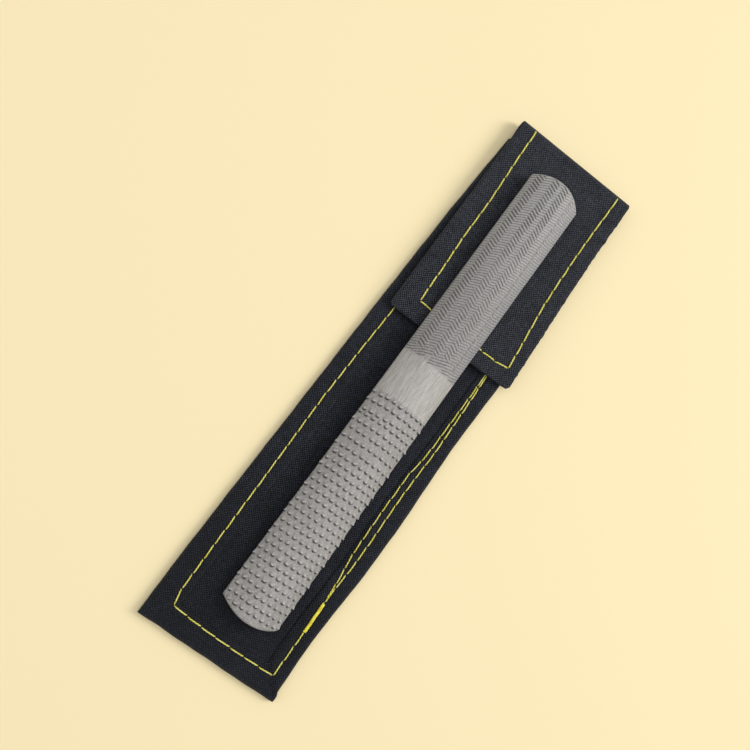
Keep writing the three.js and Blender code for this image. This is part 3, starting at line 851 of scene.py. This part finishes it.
def back_cloth():
    ns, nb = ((190, 48))
    left = resample(LEFT, ns)
    bottom = resample(BOTTOM, nb)
    right = resample(RIGHT, ns)
    outer = np.concatenate([left, bottom[1:-1], right])
    IN = 12.0
    # inner line at IN, mitred
    cl = np.array([LEFT[-1][0] + IN, LEFT[-1][1] + IN + 0.3])
    cr = np.array([RIGHT[0][0] - IN, RIGHT[0][1] + IN])
    tl = np.array([LEFT[0][0] + IN, fold_y(LEFT[0][0] + IN) - 6.4])
    tr = np.array([RIGHT[-1][0] - IN, fold_y(RIGHT[-1][0] - IN) - 6.4])
    inner_left = np.stack([np.linspace(tl[0], cl[0], ns), np.linspace(tl[1], cl[1], ns)], 1)
    inner_bottom = np.stack([np.linspace(cl[0], cr[0], nb), np.linspace(cl[1], cr[1], nb)], 1)
    inner_right = np.stack([np.linspace(cr[0], tr[0], ns), np.linspace(cr[1], tr[1], ns)], 1)
    inner = np.concatenate([inner_left, inner_bottom[1:-1], inner_right])
    N = len(outer)
    # ends of the body, straight along the fold
    for arr in (outer,):
        arr[0, 1] = fold_y(arr[0, 0]) - 6.4
        arr[-1, 1] = fold_y(arr[-1, 0]) - 6.4

    hem = 9.35
    # (distance in, height, kind): kind 1 takes its height from hem_top
    top_d = [9.05, 8.6, 8.0, 7.4, 6.9, 6.5, 6.15, 5.8, 5.45, 5.1, 4.7, 4.2, 3.6, 3.0, 2.4, 1.9, 1.5]
    loop = [(hem - 0.1, 2.24, 0), (hem + 0.16, 2.30, 0), (hem + 0.22, 2.42, 0), (hem + 0.06, 2.60, 0)]
    loop += [(d, 0, 1) for d in top_d]
    loop += [(1.05, HEM_Z - 0.10, 0), (0.66, HEM_Z - 0.30, 0), (0.34, HEM_Z - 0.66, 0), (0.12, 2.0, 0), (0.0, 1.55, 0),
             (0.06, 1.05, 0), (0.26, 0.58, 0), (0.6, 0.25, 0), (1.05, 0.07, 0), (1.8, 0.0, 0), (3.2, 0.0, 0)]
    loop += [(d, 0.0, 2) for d in (4.3, 4.9, 5.3, 5.6, 5.9, 6.2, 6.5, 6.8, 7.1, 7.5, 8.1, 9.0)]
    loop += [(10.2, 0, 0), (12, 0, 0)]
    skin_end = len(loop)
    inner_loop = [(12, 0.72, 0), (9, 0.72, 0), (5, 0.72, 0), (2.2, 0.74, 0), (1.25, 0.9, 0), (0.95, 1.5, 0), (1.25, 2.05, 0),
                  (2.2, 2.20, 0), (5, 2.22, 0), (hem - 0.4, 2.18, 0)]
    loop += inner_loop
    nl = len(loop)
    D = np.array([p[0] for p in loop])
    Zc = np.array([p[1] for p in loop], float)
    K = np.array([p[2] for p in loop])
    # the hem's width varies a little along its length
    sarc = np.arange(N)
    V = np.zeros((N, nl, 3))
    for k in range(nl):
        d = np.full(N, D[k])
        if k < 24:
            d = d + (0.28 * np.sin(sarc * 0.11) + 0.2 * np.sin(sarc * 0.043 + 2)) * (D[k] / hem) ** 2
        f = (d / IN)[:, None]
        xy = outer * (1 - f) + inner * f
        V[:, k, :2] = xy
        V[:, k, 2] = Zc[k]
        if K[k] == 1:
            V[:, k, 2] = hem_top(xy[:, 0], xy[:, 1])
        if K[k] == 2:
            V[:, k, 2] = seam_sink(xy[:, 0], xy[:, 1], H_POCKET, depth=0.34, width=0.6, hole=0.2)
    # skin next to the hem top follows it, softly
    edge = hem_top(V[:, 4, 0], V[:, 4, 1]) - (HEM_Z - 0.30)
    for k in range(1, 4):
        V[:, k, 2] += np.clip(edge, -0.2, 0.2) * (k / 4)
    edge = hem_top(V[:, 20, 0], V[:, 20, 1]) - HEM_Z
    for k, w in ((21, 1.0), (22, 0.85), (23, 0.6), (24, 0.3)):
        V[:, k, 2] += edge * w
    # the outer edge is slightly uneven
    ripple = 0.10 * np.sin(sarc * 0.33) + 0.08 * np.sin(sarc * 0.71 + 1)
    cen = inner - outer
    cen = cen / np.linalg.norm(cen, axis=1)[:, None]
    for k in range(20, 31):
        w = max(0.0, 1 - D[k] / 1.6)
        V[:, k, :2] += cen * (ripple * 0.5 * w)[:, None]
    verts = [V.reshape(-1, 3)]
    idx = np.arange(N * nl).reshape(N, nl)
    faces = []
    for i in range(N - 1):
        for k in range(nl):
            k2 = (k + 1) % nl
            if k == skin_end - 1:
                continue  # the interior plates join here
            faces.append((idx[i, k], idx[i, k2], idx[i + 1, k2], idx[i + 1, k]))
    nv = N * nl
    # interior plates
    for z, k, flip in ((0.0, skin_end - 1, False), (0.72, skin_end, True)):
        g = np.zeros((ns, nb), int)
        li = np.arange(ns)
        bi = np.arange(ns - 1, ns - 1 + nb)
        ri = np.arange(N - 1, N - 1 - ns, -1)
        g[:, 0] = idx[li, k]
        g[:, -1] = idx[ri, k]
        g[-1, :] = idx[bi, k]
        P = np.zeros((ns - 1, nb - 2, 3))
        Lp = V[li, k][:-1]
        Rp = V[ri, k][:-1]
        t = np.linspace(0, 1, nb)[1:-1]
        bend = V[bi, k][1:-1]
        straight = V[bi[0], k] * (1 - t)[:, None] + V[bi[-1], k] * t[:, None]
        for i in range(ns - 1):
            P[i] = Lp[i] * (1 - t)[:, None] + Rp[i] * t[:, None] + (bend - straight) * (i / (ns - 1)) ** 3
        P[:, :, 2] = z
        if flip:
            P[:, :, 2] += 0.03 * wob(P[:, :, 0], P[:, :, 1], 9, 0.1, 2)
        g[:-1, 1:-1] = nv + np.arange((ns - 1) * (nb - 2)).reshape(ns - 1, nb - 2)
        nv += (ns - 1) * (nb - 2)
        verts.append(P.reshape(-1, 3))
        for i in range(ns - 1):
            for j in range(nb - 1):
                q = (g[i, j], g[i, j + 1], g[i + 1, j + 1], g[i + 1, j])
                faces.append(q if flip is False else q[::-1])
        if flip:
            top_plate = g
        else:
            low_plate = g
    # open end: rim between the plates, and the two hem ends
    for j in range(nb - 1):
        faces.append((low_plate[0, j + 1], low_plate[0, j], top_plate[0, j], top_plate[0, j + 1]))
    faces.append(tuple(idx[0, ::-1]))
    faces.append(tuple(idx[-1, :]))
    return np.concatenate(verts), faces


bv, bf = back_cloth()
back = make("back_cloth", bv, bf)


def thick_sheet(name, TP, thick, lateral, rim=3, ends=(True, True), attrs=None):
    """A cloth sheet with thickness: TP is its outer skin as a grid (rows along, columns across), thick its thickness,
    lateral the unit direction of its columns. Edges are rounded."""
    nv_, nu = TP.shape[:2]
    du = np.gradient(TP, axis=1)
    dv = np.gradient(TP, axis=0)
    n = np.cross(du, dv)
    n /= np.linalg.norm(n, axis=2)[:, :, None] + 1e-12
    low = TP - n * thick[:, :, None]
    rows = []
    for i in range(nv_):
        left_c = (TP[i, 0] + low[i, 0]) / 2
        right_c = (TP[i, -1] + low[i, -1]) / 2
        h0, h1 = thick[i, 0] / 2, thick[i, -1] / 2
        ring = [TP[i]]
        phis = [math.pi * (k + 1) / (rim + 1) for k in range(rim)]
        ring.append(np.array([right_c + lateral[i] * h1 * math.sin(p) + n[i, -1] * h1 * math.cos(p) for p in phis]))
        ring.append(low[i][::-1])
        ring.append(np.array([left_c - lateral[i] * h0 * math.sin(p) - n[i, 0] * h0 * math.cos(p) for p in phis]))
        rows.append(np.concatenate(ring))
    R = np.array(rows)
    nl = R.shape[1]
    # rounded ends: shrink the loop towards its mid line while stepping out
    mid_of = np.concatenate([np.arange(nu), [nu - 1] * rim, np.arange(nu)[::-1], [0] * rim])
    blocks = [R]
    for at, where in ((0, 0), (-1, 1)):
        if not ends[where]:
            continue
        mid = (TP[at] + low[at]) / 2
        step = TP[at] - TP[1 if at == 0 else -2]
        step /= np.linalg.norm(step, axis=1)[:, None]
        half = thick[at] / 2
        extra = []
        for p in (0.5, 1.0, 1.4):
            c = mid[mid_of] + step[mid_of] * (half[mid_of] * math.sin(p))[:, None]
            extra.append(c + (R[at] - mid[mid_of]) * math.cos(p))
        extra = np.array(extra)
        if at == 0:
            blocks.insert(0, extra[::-1])
        else:
            blocks.append(extra)
    R = np.concatenate(blocks)
    nr = R.shape[0]
    idx = np.arange(nr * nl).reshape(nr, nl)
    faces = []
    for i in range(nr - 1):
        for k in range(nl):
            k2 = (k + 1) % nl
            faces.append((idx[i, k], idx[i, k2], idx[i + 1, k2], idx[i + 1, k]))
    # caps as strips of quads between facing points
    top_i = list(range(nu))
    bot_i = list(range(nu + rim, nu + rim + nu))[::-1]
    for row, flip in ((0, True), (nr - 1, False)):
        for j in range(nu - 1):
            q = (idx[row, top_i[j]], idx[row, top_i[j + 1]], idx[row, bot_i[j + 1]], idx[row, bot_i[j]])
            faces.append(q if not flip else q[::-1])
        right_poly = [idx[row, nu - 1]] + [idx[row, nu + k] for k in range(rim)] + [idx[row, nu + rim]]
        left_poly = [idx[row, 2 * nu + rim - 1]] + [idx[row, 2 * nu + rim + k] for k in range(rim)] + [idx[row, 0]]
        faces.append(tuple(right_poly) if not flip else tuple(right_poly[::-1]))
        faces.append(tuple(left_poly) if not flip else tuple(left_poly[::-1]))
    return make(name, R.reshape(-1, 3), faces, attrs)


# ---------------------------------------------------------------------------------------------
# front cloth of the pocket
# ---------------------------------------------------------------------------------------------
def front_grid():
    nu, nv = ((48, 190))
    y = np.linspace(-112.9, MOUTH_Y, nv)
    xl = np.interp(y, LEFT[::-1, 1], LEFT[::-1, 0]) + 1.7
    xr = np.interp(y, RIGHT[:, 1], RIGHT[:, 0]) - 1.7
    t = np.linspace(0, 1, nu)
    X = xl[:, None] * (1 - t) + xr[:, None] * t
    Y = np.repeat(y[:, None], nu, 1)
    return X, Y


FX, FY = front_grid()
inside = smooth(9.6, 12.5, np.minimum.reduce([FX + 28.3, 27.6 - FX, FY + 115.3]))
front_drape = settled(-20, 20, -107, MOUTH_Y - 8, 1.4, 2.1, 1.5,
                      lambda x, y: (np.abs(x) > 18.2) | (y < -105.5) | (y > MOUTH_Y - 9.5), 0.035)
drape = np.clip(front_drape(FX, FY) * 0.5, -0.22, 0.45)
# the coarse end of the rasp lies on it
under_rasp = np.clip(0.03055 * (FY + 97.6) * 0.75, 0.0, 0.75)
drape = np.where(np.abs(FX) < 13.5, np.minimum(drape, under_rasp), drape)
FZ = 2.05 + inside * (0.10 * wob(FX, FY, 31, 0.055, 4) + 0.05 + drape)
under_mouth = smooth(MOUTH_Y - 10.3, MOUTH_Y - 9.8, FY) * smooth(18.4, 17.6, np.abs(FX))
FZ = FZ + under_mouth * 0.75
FZ = FZ - seam_sink(FX, FY, H_MOUTH, depth=0.22) * (FY > 70)
fthick = 0.72 + under_mouth * 0.75
front_points = np.stack([FX, FY, FZ], 2)
front = thick_sheet("front_cloth", front_points, fthick, np.repeat([[1.0, 0, 0]], len(FX), 0))


# ---------------------------------------------------------------------------------------------
# flap, one sheet from the back, round the fold, to its free end
# ---------------------------------------------------------------------------------------------
FLAP_L = np.array([[-27.5, 110.4], [-26.9, 88], [-26.3, 62], [-25.8, 40], [-25.35, 21.55]])
FLAP_R = np.array([[27.5, 114.15], [27.4, 104], [27.6, 88], [28.2, 70], [29.2, 50], [29.85, 36], [30.25, 25.35]])
FLAP_TOP = 5.78


H_FLAP_XY = np.array(H_FLAP)


def flap_held(x, y):
    """The flap is held at its needle holes, at the fold, and under the rasp."""
    near = np.full(x.shape, 1e9)
    for h in H_FLAP_XY:
        near = np.minimum(near, np.hypot(x - h[0], y - h[1]))
    return (near < 1.05) | (y > 109) | ((np.abs(x - 0.5) < 7.5) & (y < 97))


flap_drape = settled(-28, 31, 20, 112, 1.3, 5.78, 5.3, flap_held, 0.022)


def flap_top(x, y):
    d_l = x - np.interp(y, FLAP_L[::-1, 1], FLAP_L[::-1, 0])
    d_r = np.interp(y, FLAP_R[::-1, 1], FLAP_R[::-1, 0]) - x
    d_e = y - (21.5 + (x + 25.3) * 0.0683)
    edge = np.minimum.reduce([d_l, d_r, d_e])
    z = np.full(x.shape, FLAP_TOP)
    z = z - 0.11 * smooth(8.6, 9.6, edge)  # the folded-under hem prints through
    away = smooth(8.0, 16.0, np.abs(x - 0.5))  # the rasp holds the middle down
    z = z + (0.10 * wob(x, y, 41, 0.07, 4)) * (0.25 + 0.75 * away)
    z = z - 0.12 * smooth(13, 6, np.abs(x - 0.5))
    off_seam, _ = polydist(x, y, H_FLAP_XY)
    z = z + np.clip(flap_drape(x, y) * 0.9, -0.20, 0.40) * smooth(0.7, 2.6, off_seam) * (0.15 + 0.85 * away) * smooth(112, 104, y)
    z = z - seam_sink(x, y, H_FLAP, depth=0.22, hole=0.22)
    return z, edge


def flap_grid():
    nu = 50
    q_plate = np.linspace(0, 88.95, 96)
    # profile: lap under the body, turn, plate
    prof = []
    for q in (6.1, 5.0, 3.8, 2.6, 1.4, 0.4):
        prof.append(("lap", q))
    for a in np.linspace(-84, 84, 15):
        prof.append(("turn", a))
    for q in q_plate:
        prof.append(("plate", q))
    rows, thick, lateral = [], [], []
    R = FLAP_TOP - FOLD_Z
    for kind, val in prof:
        if kind == "plate":
            f = val / 88.95
            # edges at this distance from the fold
            yl = FLAP_L[0, 1] + (FLAP_L[-1, 1] - FLAP_L[0, 1]) * f
            yr = FLAP_R[0, 1] + (FLAP_R[-1, 1] - FLAP_R[0, 1]) * f
            pl = np.array([np.interp(yl, FLAP_L[::-1, 1], FLAP_L[::-1, 0]), yl])
            pr = np.array([np.interp(yr, FLAP_R[::-1, 1], FLAP_R[::-1, 0]), yr])
        else:
            q = val if kind == "lap" else -R * math.cos(math.radians(val))
            pl = FOLD_L + FOLD_IN * q
            pr = FOLD_R + FOLD_IN * q
        lat = pr - pl
        width = np.linalg.norm(lat)
        lat = lat / width
        inset = 0.75
        if kind == "plate":
            # free corners are rounded a little
            left_over = 88.95 - val
            if left_over < 0.4:
                inset += 0.4 - math.sqrt(max(0.0, 0.4**2 - (0.4 - left_over) ** 2))
        t = np.linspace(0, 1, nu)
        t = 0.5 - 0.5 * np.cos(t * math.pi) * 0.35 + (t - 0.5) * 0.65  # closer columns at the edges
        t = (t - t[0]) / (t[-1] - t[0])
        s = inset + t * (width - 2 * inset)
        xy = pl + lat * s[:, None]
        if kind == "lap":
            z = np.full(nu, 0.12)
            z = z + 0.25 * smooth(4, 0, val) * np.ones(nu)
            th = np.full(nu, 0.72)
        elif kind == "turn":
            z = np.full(nu, FOLD_Z + R * math.sin(math.radians(val)))
            if val < -50:
                z = np.maximum(z, 0.37)
            th = np.full(nu, 0.8)
        else:
            z, edge = flap_top(xy[:, 0], xy[:, 1])
            z = z * smooth(-1.0, 4.0, val) + FLAP_TOP * (1 - smooth(-1.0, 4.0, val))
            hem = smooth(9.6, 8.9, edge) * smooth(3.0, 7.0, val)
            th = np.minimum(0.74 + 0.82 * hem, z - 4.17)
        rows.append(np.concatenate([xy, z[:, None]], 1))
        thick.append(th)
        lateral.append([lat[0], lat[1], 0])
    return np.array(rows), np.array(thick), np.array(lateral)


flap_points, flap_thick, flap_lat = flap_grid()
# its rows run away from the fold, so its columns run from right to left to keep the outer skin outside
flap = thick_sheet("flap_cloth", flap_points[:, ::-1], flap_thick[:, ::-1], -flap_lat)


# ---------------------------------------------------------------------------------------------
# stitches
# ---------------------------------------------------------------------------------------------
def stitch_mesh(name, holes, zf, radius=0.24, gap=0.62, dive=0.44, below=False, twist=1.0, seed=1, sides=10, path=None):
    """Separate stitches between needle holes; each rises out of one hole and goes down into the next."""
    r = np.random.default_rng(seed)
    verts, faces, tw = [], [], []
    nv = 0
    n_along = 13
    prof = np.linspace(0, 1, n_along)
    prof = np.clip(0.5 - 0.5 * np.cos(prof * math.pi) * 0.55 + (prof - 0.5) * 0.45, 0, 1)
    sgn = -1.0 if below else 1.0
    for k in range(len(holes) - 1):
        a, b = np.array(holes[k], float), np.array(holes[k + 1], float)
        d = b - a
        L = np.linalg.norm(d)
        if L < 0.8:
            continue
        d3 = d / L
        side = np.array([-d3[1], d3[0]])
        off = r.uniform(-0.07, 0.07)
        skew = r.uniform(-0.05, 0.05)
        slant = 0.09 * (1 if not below else -1) + r.uniform(-0.03, 0.03)
        g = min(gap * r.uniform(0.6, 1.4), L * 0.3)
        s = g * 0.5 + prof * (L - g)
        xy = a + d3 * s[:, None] + side * ((off + skew * (prof - 0.5)) * np.sin(prof * math.pi) + slant * (2 * prof - 1))[:, None]
        surf = zf(xy[:, 0], xy[:, 1])
        endness = np.minimum(prof, 1 - prof) * (L - g)
        lift = radius * 0.62 - dive * np.exp(-((endness / 0.16) ** 1.8))
        lift = lift + 0.05 * np.sin(prof * math.pi)
        c = np.concatenate([xy, (surf + sgn * lift)[:, None]], 1)
        tan = np.gradient(c, axis=0)
        tan /= np.linalg.norm(tan, axis=1)[:, None]
        rings = []
        for i in range(n_along):
            lat = np.array([side[0], side[1], 0.0])
            up = np.cross(tan[i], lat)
            up /= np.linalg.norm(up)
            rad = radius * (1 - 0.14 * math.exp(-((endness[i] / 0.35) ** 2)))
            angs = np.linspace(0, 2 * math.pi, sides, endpoint=False)
            ph = twist * s[i] * 2.6
            rr = rad * (1 + 0.10 * np.cos(2 * angs + ph * 2))
            # pulled flat onto the cloth
            ring = c[i] + np.outer(rr * np.cos(angs) * 1.06, lat) + np.outer(rr * np.sin(angs) * 0.92, up)
            rings.append(ring)
            for q in range(sides):
                tw.append((k * 7.3 + s[i], angs[q], 1.0 * min(1.0, endness[i] / 0.35)))
        rings = np.concatenate(rings)
        verts.append(rings)
        idx = nv + np.arange(n_along * sides).reshape(n_along, sides)
        for i in range(n_along - 1):
            for q in range(sides):
                q2 = (q + 1) % sides
                faces.append((idx[i, q], idx[i, q2], idx[i + 1, q2], idx[i + 1, q]))
        nv += n_along * sides
        for end, flip in ((0, True), (n_along - 1, False)):
            verts.append((c[end] + (tan[end] if end else -tan[end]) * 0.12)[None])
            tw.append((k * 7.3, 0, 0.0))
            for q in range(sides):
                q2 = (q + 1) % sides
                f = (idx[end, q], idx[end, q2], nv)
                faces.append(f[::-1] if flip else f)
            nv += 1
    return make(name, np.concatenate(verts), faces, {"tw": np.array(tw)})


def flap_under(x, y):
    return np.maximum(flap_top(x, y)[0] - 1.56, 4.17)


def hem_z(x, y):
    return hem_top(x, y) + 0.22


pocket_st = stitch_mesh("pocket_seam_stitches", H_POCKET, hem_z, seed=2)
second_st = stitch_mesh("second_seam_stitches", H_SECOND, hem_z, seed=3, radius=0.23)
tack_path = resample(TACK, 54)
tack_side = np.stack([-np.gradient(tack_path[:, 1]), np.gradient(tack_path[:, 0])], 1)
tack_side /= np.linalg.norm(tack_side, axis=1)[:, None]
TACK_HOLES = tack_path + tack_side * (np.where(np.arange(54) % 2, 0.5, -0.5) * (1 + 0.1 * np.sin(np.arange(54) * 1.7)))[:, None]
tack_st = stitch_mesh("bar_tack_stitches", TACK_HOLES, lambda x, y: hem_z(x, y) + 0.30, radius=0.21, gap=0.0, dive=0.22, seed=4)
flap_st = stitch_mesh("flap_seam_stitches", H_FLAP, lambda x, y: flap_top(x, y)[0] + 0.17, seed=5, radius=0.28)
mouth_st = stitch_mesh("mouth_hem_stitches", H_MOUTH, lambda x, y: np.full(x.shape, 2.05 + 0.75 - 0.05), seed=6, radius=0.25)
back_st = stitch_mesh("pocket_seam_back_stitches", H_POCKET[4:-4], lambda x, y: np.full(x.shape, 0.42), radius=0.24, below=True, seed=7, dive=0.4)
under_st = stitch_mesh("flap_seam_under_stitches", H_FLAP[2:-2], flap_under, radius=0.22, below=True, seed=8,
                       dive=0.3)


# ---------------------------------------------------------------------------------------------
# closure patches
# ---------------------------------------------------------------------------------------------
def box_of(node):
    lo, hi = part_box(node)
    return np.array(lo) * 1000, np.array(hi) * 1000


def patch_sheet(name, lo, hi, top, thick, rough=0.0, down=False, seed=1, step=0.42):
    nu = int((hi[0] - lo[0]) / step)
    nv = int((hi[1] - lo[1]) / step)
    x = np.linspace(lo[0] + 0.3, hi[0] - 0.3, nu)
    y = np.linspace(lo[1] + 0.3, hi[1] - 0.3, nv)
    X, Y = np.meshgrid(x, y)
    if down:
        X = X[:, ::-1]
    Z = np.full(X.shape, float(top))
    r = np.random.default_rng(seed)
    if rough:
        noise = r.uniform(0, 1, X.shape) ** 1.5
        d = np.minimum.reduce([X - lo[0], hi[0] - X, Y - lo[1], hi[1] - Y])
        Z = Z + (noise - 0.4) * rough * smooth(1.9, 2.5, d) - 0.12 * smooth(2.3, 1.9, d)
    lat = np.repeat([[-1.0 if down else 1.0, 0, 0]], nv, 0)
    return thick_sheet(name, np.stack([X, Y, Z], 2), np.full(X.shape, thick), lat)


l_lo, l_hi = box_of("pocket_loop_patch")
h_lo, h_hi = box_of("flap_hook_patch")
loop = patch_sheet("loop_patch", l_lo, l_hi, l_hi[2] - 0.22, l_hi[2] - l_lo[2] - 0.25, rough=0.34, seed=13, step=0.36)
# the hook tape faces down, so its outer skin is its low side
hook_tape = patch_sheet("hook_patch", h_lo, h_hi, 4.25, 0.62, down=True, seed=14, step=0.9)


def hooks():
    verts, faces = [], []
    nv = 0
    r = np.random.default_rng(15)
    xs = np.arange(h_lo[0] + 2.6, h_hi[0] - 2.4, 1.15)
    ys = np.arange(h_lo[1] + 2.6, h_hi[1] - 2.4, 0.95)
    for i, x in enumerate(xs):
        for j, y in enumerate(ys):
            s = 1 if i % 2 else -1
            px, py = x + r.uniform(-0.12, 0.12), y + r.uniform(-0.1, 0.1)
            path = []
            for t in np.linspace(0, 1, 8):
                if t < 0.45:
                    path.append((px, py, 4.25 - 0.42 * t / 0.45))
                else:
                    a = (t - 0.45) / 0.55 * math.radians(210)
                    path.append((px, py + s * 0.24 * (1 - math.cos(a)), 3.83 - 0.24 * math.sin(a)))
            c = np.array(path)
            tan = np.gradient(c, axis=0)
            tan /= np.linalg.norm(tan, axis=1)[:, None]
            lat = np.array([1.0, 0, 0])
            rings = []
            for k in range(len(c)):
                up = np.cross(tan[k], lat)
                up /= np.linalg.norm(up) + 1e-9
                for q in range(5):
                    a = 2 * math.pi * q / 5
                    rings.append(c[k] + 0.085 * (math.cos(a) * lat + math.sin(a) * up))
            verts += rings
            idx = nv + np.arange(len(c) * 5).reshape(len(c), 5)
            for k in range(len(c) - 1):
                for q in range(5):
                    q2 = (q + 1) % 5
                    faces.append((idx[k, q], idx[k, q2], idx[k + 1, q2], idx[k + 1, q]))
            faces.append(tuple(idx[0, ::-1]))
            faces.append(tuple(idx[-1, :]))
            nv += len(c) * 5
    return make("hook_patch_hooks", np.array(verts), faces)


hook_points = hooks()


def patch_holes(lo, hi, inset, pitch=2.6):
    c = [(lo[0] + inset, lo[1] + inset), (lo[0] + inset, hi[1] - inset), (hi[0] - inset, hi[1] - inset), (hi[0] - inset, lo[1] + inset),
         (lo[0] + inset, lo[1] + inset)]
    return holes_of([[c[i], c[i + 1]] for i in range(4)], pitch)


loop_st = stitch_mesh("loop_patch_stitches", patch_holes(l_lo, l_hi, 1.2), lambda x, y: np.full(x.shape, l_hi[2] - 0.34), radius=0.2,
                      gap=0.4, dive=0.5, seed=16, sides=8)
hook_st = stitch_mesh("hook_patch_stitches", patch_holes(h_lo, h_hi, 1.4), lambda x, y: np.full(x.shape, 4.27), radius=0.2, gap=0.4,
                      dive=0.5, below=True, seed=17, sides=8)

# ---------------------------------------------------------------------------------------------
# who rides on what
# ---------------------------------------------------------------------------------------------
finish_piece(back, M_BODY, "pouch", "body_cloth", "back_panel")
finish_piece(front, M_BODY, "pouch", "body_cloth", "front_panel")
finish_piece(flap, M_FLAP, None, "flap_cloth", "flap_panel")
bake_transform(flap)
finish_piece(pocket_st, M_YELLOW, "pouch", "yellow_thread", "pocket_seam_thread")
finish_piece(second_st, M_YELLOW, "pouch", "yellow_thread", "second_seam_thread")
finish_piece(tack_st, M_TACK, "pouch", "tack_thread", "bar_tack_thread")
finish_piece(mouth_st, M_YELLOW, "pouch", "yellow_thread", "mouth_hem_thread")
finish_piece(back_st, M_YELLOW, "pouch", "yellow_thread")
finish_piece(flap_st, M_YELLOW, "flap", "yellow_thread", "flap_seam_thread")
finish_piece(under_st, M_YELLOW, "flap", "yellow_thread")
finish_piece(loop, M_PILE, "pouch", "loop_pile", "pocket_loop_patch")
finish_piece(loop_st, M_DARK, "pouch", "dark_thread", "loop_patch_thread")
finish_piece(hook_tape, M_HOOK, "flap", "hook_tape", "flap_hook_patch")
finish_piece(hook_points, M_HOOK, "flap", "hook_tape")
finish_piece(hook_st, M_DARK, "flap", "dark_thread", "hook_patch_thread")

# ---------------------------------------------------------------------------------------------
# floor, light, camera
# ---------------------------------------------------------------------------------------------
me = bpy.data.meshes.new("floor")
s = 12.0
me.from_pydata([(-s, -s, -0.0001), (s, -s, -0.0001), (s, s, -0.0001), (-s, s, -0.0001)], [], [(0, 1, 2, 3)])
floor = bpy.data.objects.new("floor", me)
bpy.context.scene.collection.objects.link(floor)
ft = Tree("pale_floor")
ft.set("Base Color", srgb(248, 232, 188))
ft.set("Roughness", 0.95)
ft.set("Specular IOR Level", 0.1)
floor.data.materials.append(ft.m)
# far from the lights the floor keeps its pale colour for the camera
fn = ft.m.node_tree
geo = fn.nodes.new("ShaderNodeNewGeometry")
dist = fn.nodes.new("ShaderNodeVectorMath")
dist.operation = "LENGTH"
fn.links.new(geo.outputs["Position"], dist.inputs[0])
fp = fn.nodes.new("ShaderNodeLightPath")
far = ft.math("MULTIPLY", ft.ramp(dist.outputs["Value"], 0.45, 2.2), fp.outputs["Is Camera Ray"])
ft.set("Emission Color", srgb(248, 232, 188))
ft.set("Emission Strength", ft.math("MULTIPLY", far, 0.55))

scene = bpy.context.scene
scene.view_settings.view_transform = "Standard"
scene.view_settings.look = "None"
world = bpy.data.worlds.new("studio")
scene.world = world
world.use_nodes = True
bg = world.node_tree.nodes["Background"]
bg.inputs[0].default_value = (1.0, 0.985, 0.96, 1)
# beyond the edge of the floor the camera sees the floor's own pale colour
wt = world.node_tree
seen = wt.nodes.new("ShaderNodeBackground")
seen.inputs[0].default_value = (*srgb(250, 236, 200)[:3], 1)
seen.inputs[1].default_value = 0.9
path = wt.nodes.new("ShaderNodeLightPath")
blend_world = wt.nodes.new("ShaderNodeMixShader")
wt.links.new(path.outputs["Is Camera Ray"], blend_world.inputs[0])
wt.links.new(bg.outputs[0], blend_world.inputs[1])
wt.links.new(seen.outputs[0], blend_world.inputs[2])
wt.links.new(blend_world.outputs[0], wt.nodes["World Output"].inputs[0])
bg.inputs[1].default_value = 0.40


def area(name, at, look, size, power, color=(1, 1, 1)):
    d = bpy.data.lights.new(name, "AREA")
    d.shape = "RECTANGLE"
    d.size, d.size_y = size
    d.energy = power
    d.color = color
    o = bpy.data.objects.new(name, d)
    scene.collection.objects.link(o)
    at, look = Vector(at), Vector(look)
    o.matrix_world = Matrix.Translation(at) @ (look - at).to_track_quat("-Z", "Y").to_matrix().to_4x4()
    return o


area("key", (0.94, 0.72, 0.94), (0, 0, 0), (0.54, 0.81), 13.4, (1, 0.985, 0.96))
area("top", (-0.10, -0.05, 1.4), (0, 0, 0), (1.2, 1.2), 5.6)
area("fill", (-0.6, -0.2, 0.5), (0, 0, 0), (0.6, 0.6), 0.8, (0.96, 0.98, 1))

# camera at the photograph's angle
R = np.array([[0.761763, 0.593006, 0.260884], [0.626865, -0.776353, -0.065701], [0.163577, 0.213587, -0.963132]])
C = np.array([-0.06345976, -0.06832804, 0.29967331])
cam_data = bpy.data.cameras.new("camera")
cam_data.sensor_width = 36
cam_data.lens = 36 * 850 / 750
cam_data.clip_start = 0.01
cam = bpy.data.objects.new("camera", cam_data)
scene.collection.objects.link(cam)
m = Matrix.Identity(4)
for i in range(3):
    m[i][0] = R[0][i]
    m[i][1] = -R[1][i]
    m[i][2] = -R[2][i]
    m[i][3] = C[i]
cam.matrix_world = m
scene.camera = cam
